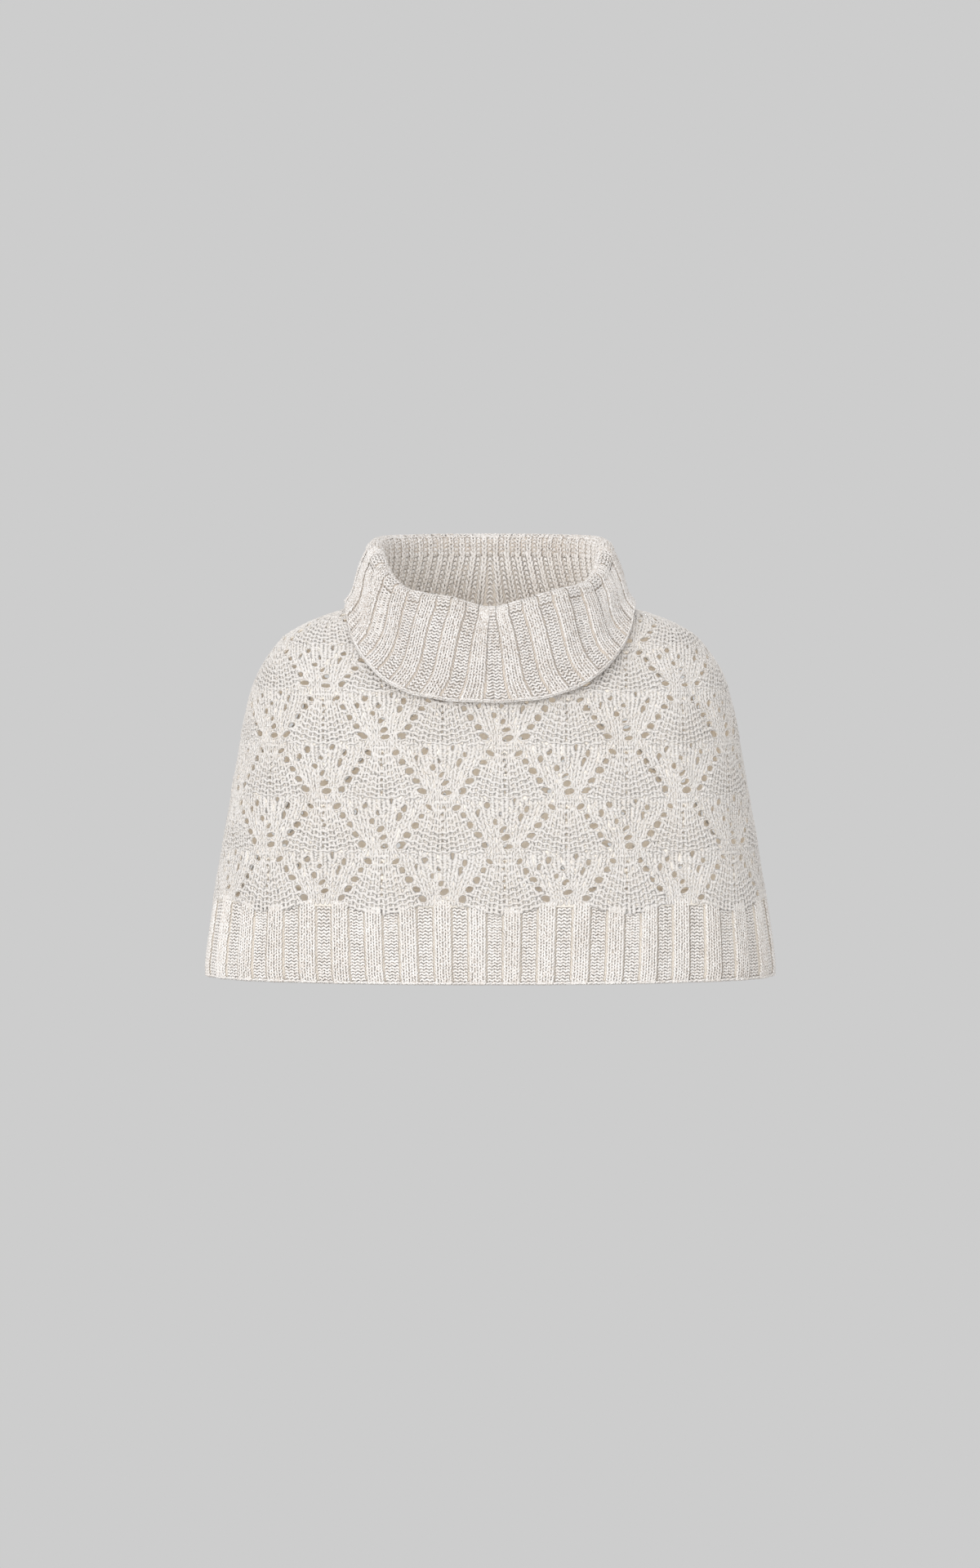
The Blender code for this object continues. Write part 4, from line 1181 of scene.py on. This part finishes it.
def collar_stitches():
    """The stitches of the turned-down collar, with its lower edge."""
    legs = Legs()
    wide, narrow = rib_wales(COLLAR_RIBS, WIDE_RIB), rib_wales(STAND_RIBS, NARROW_RIB)
    rows = range(INSIDE_ROWS - 1, LEG_ROWS + FOLD_ROWS + TURN_ROWS)
    rib_stitches(legs, collar_knit, RIB_GROUND[0], wide, rows, collar_station, "rib")
    rib_stitches(legs, collar_inside_knit, RIB_GROUND[0], narrow, range(INSIDE_ROWS),
                 collar_station, "narrow")
    edge_cord(legs, collar_knit, wide[0], wide[2], COLLAR_EDGE, COLLAR_EDGE_LEAN)
    return legs


def stand_stitches():
    """The stitches of the narrow-ribbed collar inside."""
    legs = Legs()

    def row_level(row):
        return row * STAND_TOP / STAND_ROWS

    rib_stitches(legs, stand_knit, STAND_GROUND[0], rib_wales(STAND_RIBS, NARROW_RIB),
                 range(STAND_ROWS), row_level, "narrow")
    return legs


def linear(code):
    """Linear colour of an sRGB hex code."""
    values = [int(code[i:i + 2], 16) / 255 for i in (1, 3, 5)]
    return tuple(v / 12.92 if v <= 0.04045 else ((v + 0.055) / 1.055) ** 2.4
                 for v in values) + (1.0,)


def new_material(name, values):
    """A material with constant values on its shader's sockets, its tree and its shader."""
    material = bpy.data.materials.new(name)
    material.use_nodes = True
    shader = material.node_tree.nodes["Principled BSDF"]
    for key, value in values.items():
        shader.inputs[key].default_value = value
    return material, material.node_tree, shader


# Wool-blend yarn, woollen spun and knitted: matt, a little hairy, with pale and dark fibres
YARNS = {
    # name: dark fibres, main colour, pale fibres, share of flecks
    "lace_wool": ("#D6CFC7", "#DFDBD7", "#E3E0DD", 0.20),
    "hem_wool": ("#D6CDC4", "#F0ECE8", "#F5F3F0", 0.20),
    "collar_wool_melange": ("#C2B7AD", "#E6E2DE", "#F2EFED", 0.20),
    "inside_wool_melange": ("#D2C8BE", "#EEEAE6", "#F3F0ED", 0.24),
}
FLECK_MM = 1.6              # length of a fleck of darker fibre
HAIR_MM = 0.7               # spacing of the loose hairs
CLOUD_SCALE = 22.0          # slow changes of tone over the cloth, in each metre
SHADE_WEIGHT = 0.05         # how much the chance shade of a leg counts beside its flecks
CLOUD_WEIGHT = 0.25         # and the slow changes of tone
PLY_WEIGHT = 0.30           # how much the twist of the plies counts beside the hairs, in relief
DARK_END, MAIN_AT, PALE_AT = 0.62, 0.64, 0.86       # where the three colours lie on the ramp
PLY_TURNS = 1.5             # turns of the two plies along one leg of a stitch
GROUND_STITCH_MM = 4.0      # size of the bumps in the grounds' relief


def yarn_finish(name):
    """Spun wool-blend yarn: soft flecks of other fibres, and a fine twist that shades each leg."""
    dark, main, pale, flecks = YARNS[name]
    material, tree, shader = new_material(name, {
        "Roughness": 0.92, "Sheen Weight": 0.10, "Sheen Roughness": 0.6,
        "Specular IOR Level": 0.25})
    place = add_node(tree, "ShaderNodeTexCoord").outputs["Object"]
    fleck = add_node(tree, "ShaderNodeTexNoise", {
        "Vector": place, "Scale": 1 / (FLECK_MM * MM), "Detail": 2.0, "Roughness": 0.6})
    cloud = add_node(tree, "ShaderNodeTexNoise", {
        "Vector": place, "Scale": CLOUD_SCALE, "Detail": 2.0})
    shade = add_node(tree, "ShaderNodeAttribute", attribute_name="shade").outputs["Fac"]
    mixed = add_node(tree, "ShaderNodeMath", {0: shade, 1: SHADE_WEIGHT, 2: fleck},
                     operation="MULTIPLY_ADD")
    toned = add_node(tree, "ShaderNodeMath", {0: cloud, 1: CLOUD_WEIGHT, 2: mixed},
                     operation="MULTIPLY_ADD")
    ramp = add_node(tree, "ShaderNodeValToRGB", {"Fac": toned})
    stops = ramp.color_ramp.elements
    stops[0].position, stops[0].color = DARK_END - flecks, linear(dark)
    stops[1].position, stops[1].color = PALE_AT, linear(pale)
    stops.new(MAIN_AT).color = linear(main)
    lay = add_node(tree, "ShaderNodeUVMap", uv_map="yarn_lay")
    split = add_node(tree, "ShaderNodeSeparateXYZ", {0: lay}).outputs
    turn = add_node(tree, "ShaderNodeMath", {0: split["Y"], 1: PLY_TURNS, 2: split["X"]},
                    operation="MULTIPLY_ADD")
    ply = add_node(tree, "ShaderNodeMath", {0: turn, 1: 2 * math.pi}, operation="MULTIPLY")
    relief = add_node(tree, "ShaderNodeMath", {0: ply}, operation="SINE")
    hair = add_node(tree, "ShaderNodeTexNoise", {
        "Vector": place, "Scale": 1 / (HAIR_MM * MM), "Detail": 3.0})
    height = add_node(tree, "ShaderNodeMath", {0: relief, 1: PLY_WEIGHT, 2: hair},
                      operation="MULTIPLY_ADD")
    bump = add_node(tree, "ShaderNodeBump", {
        "Strength": 0.55, "Distance": 0.4 * MM, "Height": height})
    tree.links.new(ramp.outputs[0], shader.inputs["Base Color"])
    tree.links.new(bump.outputs[0], shader.inputs["Normal"])
    return material


GROUNDS = {
    # name: colour at the middle of the bumps of its relief, colour between them, darker there as
    # painted shade
    "lace_wool_ground": ("#F6F0E7", "#F0E8DD"),
    # painted shade: the lace's inner faces take a warm tint that stands in for the shade inside the
    # garment
    "lace_wool_inner_painted_shade": ("#F7EFE3", "#F0E6D8"),
    # painted shade: darker than the hem's own yarn, for the shade in the gaps between its stitches
    "hem_wool_ground_painted_shade": ("#E2DACF", "#D9D0C4"),
    # painted shade: the hem's inner faces take a warm tint that stands in for the shade inside the
    # garment
    "hem_wool_inner_painted_shade": ("#F2EAE0", "#EAE0D3"),
    # painted shade: darker than the collar's own yarn, for the shade in the gaps between its
    # stitches
    "collar_wool_ground_painted_shade": ("#D6CCC1", "#CCC1B5"),
    "inside_wool_ground": ("#EBE4DB", "#E2D9CF"),
}


def ground_finish_and_painted_shade(name):
    """The knit behind the stitches: dull yarn with a soft relief of bumps as wide as a stitch, and
    painted shade in the hollows between the bumps.
    """
    light, shaded = GROUNDS[name]
    material, tree, shader = new_material(name, {"Roughness": 0.96, "Specular IOR Level": 0.15})
    place = add_node(tree, "ShaderNodeTexCoord").outputs["Object"]
    stitch = add_node(tree, "ShaderNodeTexVoronoi", {
        "Vector": place, "Scale": 1 / (GROUND_STITCH_MM * MM)}, feature="F1")
    # Painted shade: the colour darkens from the top of each bump towards the hollows round it
    ramp = add_node(tree, "ShaderNodeValToRGB", {"Fac": stitch})
    stops = ramp.color_ramp.elements
    stops[0].position, stops[0].color = 0.2, linear(light)
    stops[1].position, stops[1].color = 0.7, linear(shaded)
    bump = add_node(tree, "ShaderNodeBump", {
        "Strength": 0.6, "Distance": 0.8 * MM, "Height": stitch}, invert=True)
    tree.links.new(ramp.outputs[0], shader.inputs["Base Color"])
    tree.links.new(bump.outputs[0], shader.inputs["Normal"])
    return material


def dye_with_painted_shade(ground, finish, inner_painted_shade=None):
    """Gives a ground its finish, and the faces of its inner side their own tint of painted shade if
    they have one.
    """
    ground.data.materials.append(finish)
    if inner_painted_shade is None:
        return
    ground.data.materials.append(inner_painted_shade)
    first = len(ground.data.vertices) // 2
    for face in ground.data.polygons:
        face.material_index = int(min(face.vertices) >= first)


def dress(ground, stitches, node):
    """Rides one maker's piece on the part, in place of its solid."""
    for piece in (ground, *stitches):
        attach(piece, "root")
        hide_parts(node)


def knit_pieces():
    """Every piece of the garment."""
    yarn = {name: yarn_finish(name) for name in YARNS}
    behind = {name: ground_finish_and_painted_shade(name) for name in GROUNDS}
    tree = stitch_tree()
    leg = yarn_leg()

    def laid(legs, name, finish, hand, seed):
        return legs.lay(name, tree, leg, yarn[finish], hand, seed)

    for seed, (place, side) in enumerate((("front", -1), ("back", 1))):
        outline = lace_outline(side)
        eyelets = lace_eyelets(outline)
        ground = lace_ground(f"lace_{place}_ground", side, outline, eyelets)
        # The lace's inner faces take a warm tint of painted shade
        dye_with_painted_shade(ground, behind["lace_wool_ground"], behind["lace_wool_inner_painted_shade"])
        stitches = laid(lace_stitches(side, outline, eyelets), f"lace_{place}_stitches",
                        "lace_wool", LACE_HAND, 11 + seed)
        strands = laid(eyelet_strands(side, eyelets), f"lace_{place}_yarnovers",
                       "lace_wool", STRAND_HAND, 21 + seed)
        dress(ground, (stitches, strands), f"body_{place}")
        ribs = hem_start(side) + np.linspace(0.0, HEM_RIBS, HEM_RIBS * WIDE_STEPS + 1)
        levels = np.linspace(0.0, HEM_HEIGHT + HEM_TUCK, HEM_LEVELS)
        ground = ribbed_ground(f"hem_{place}_ground", partial(hem_knit, side), ribs, levels,
                               RIB_GROUND, ring=False)
        # The hem's inner faces take a warm tint of painted shade
        dye_with_painted_shade(ground, behind["hem_wool_ground_painted_shade"], behind["hem_wool_inner_painted_shade"])
        stitches = laid(hem_stitches(side), f"hem_{place}_stitches",
                        "hem_wool", RIB_HAND, 31 + seed)
        dress(ground, (stitches,), f"hem_{place}")
    ribs = np.arange(COLLAR_RIBS * WIDE_STEPS) / WIDE_STEPS
    ground = ribbed_ground("collar_turnover_ground", collar_knit, ribs, COLLAR_STATIONS,
                           RIB_GROUND, ring=True)
    dye_with_painted_shade(ground, behind["collar_wool_ground_painted_shade"])
    stitches = laid(collar_stitches(), "collar_turnover_stitches",
                    "collar_wool_melange", RIB_HAND, 41)
    dress(ground, (stitches,), "collar_turnover")
    ribs = np.arange(STAND_RIBS * NARROW_STEPS) / NARROW_STEPS
    ground = ribbed_ground("collar_stand_ground", stand_knit, ribs,
                           np.linspace(0.0, 1.0, STAND_LEVELS), STAND_GROUND, ring=True)
    dye_with_painted_shade(ground, behind["inside_wool_ground"])
    stitches = laid(stand_stitches(), "collar_stand_stitches",
                    "inside_wool_melange", RIB_HAND, 51)
    dress(ground, (stitches,), "collar_stand")
    bpy.data.objects.remove(leg, do_unlink=True)


# Studio, in metres: the pale floor and the soft lights, and the camera of the photograph
FLOOR_HEIGHT, FLOOR_RADIUS = -1.02, 14.0
FLOOR_TONE = "#CDCDCD"
LIGHTS_AIM = -0.12          # height that the soft lights point at
LIGHTS = (
    # name, place, size, watts
    ("soft_front", (-1.9, -3.1, 0.05), 2.8, 84.0),
    ("soft_over", (0.1, -6.0, 1.9), 2.2, 78.0),
    ("soft_right", (2.6, -2.2, 0.0), 2.2, 15.0),
    ("soft_top", (0.0, 0.1, 2.8), 2.6, 18.0),
    ("soft_back", (0.3, 3.2, 1.0), 2.4, 55.0),
)
INNER_LIGHT = (0.0, 0.0, -0.13)     # where the light that knit lets through is put back inside
INNER_SIZE, INNER_WATTS = 0.05, 0.05
PHOTO_HEIGHT = 1.459        # what the photograph shows from its upper to its lower edge
PHOTO_MIDDLE = -0.1651      # height of its middle
CAMERA_DISTANCE = 12.0
CAMERA_ELEVATION = math.radians(3.0)
SENSOR = 36.0


def add_light(name, kind, place, watts, **settings):
    """A light of one kind, with its place, power and other settings."""
    light = bpy.data.lights.new(name, kind)
    light.energy = watts
    for key, value in settings.items():
        setattr(light, key, value)
    lamp = put(name, light)
    lamp.location = place
    return lamp


def studio():
    """Pale floor and world of one tone, large soft lights, and the camera."""
    tone = linear(FLOOR_TONE)
    world = bpy.data.worlds.new("pale_room")
    world.use_nodes = True
    world.node_tree.nodes["Background"].inputs["Color"].default_value = tone
    bpy.context.scene.world = world
    mesh = bpy.data.meshes.new("floor")
    body = bmesh.new()
    bmesh.ops.create_circle(body, cap_ends=True, segments=96, radius=FLOOR_RADIUS)
    bmesh.ops.translate(body, verts=body.verts[:], vec=(0.0, 0.0, FLOOR_HEIGHT))
    body.to_mesh(mesh)
    body.free()
    # The floor glows evenly in the tone of the room, as an overlit paper sweep looks
    pale, _, _ = new_material("pale_paper_floor", {
        "Base Color": (0.0, 0.0, 0.0, 1.0), "Specular IOR Level": 0.0, "Roughness": 1.0,
        "Emission Color": tone, "Emission Strength": 1.0})
    mesh.materials.append(pale)
    put("floor", mesh)
    aim = Vector((0.0, 0.0, LIGHTS_AIM))
    for name, place, size, watts in LIGHTS:
        lamp = add_light(name, "AREA", place, watts, shape="SQUARE", size=size)
        lamp.rotation_euler = (aim - Vector(place)).to_track_quat("-Z", "Y").to_euler()
    glow = add_light("light_through_the_knit", "POINT", INNER_LIGHT, INNER_WATTS,
                     shadow_soft_size=INNER_SIZE)
    glow.visible_camera = False
    camera = bpy.data.cameras.new("photo_camera")
    camera.sensor_width = SENSOR
    camera.lens = SENSOR * CAMERA_DISTANCE / PHOTO_HEIGHT
    camera.clip_end = 5 * CAMERA_DISTANCE
    eye = put("photo_camera", camera)
    back = Vector((0.0, -math.cos(CAMERA_ELEVATION), math.sin(CAMERA_ELEVATION)))
    eye.location = Vector((0.0, 0.0, PHOTO_MIDDLE)) + back * CAMERA_DISTANCE
    eye.rotation_euler = (-back).to_track_quat("-Z", "Y").to_euler()
    bpy.context.scene.camera = eye
    bpy.context.scene.view_settings.view_transform = "Standard"


knit_pieces()
studio()
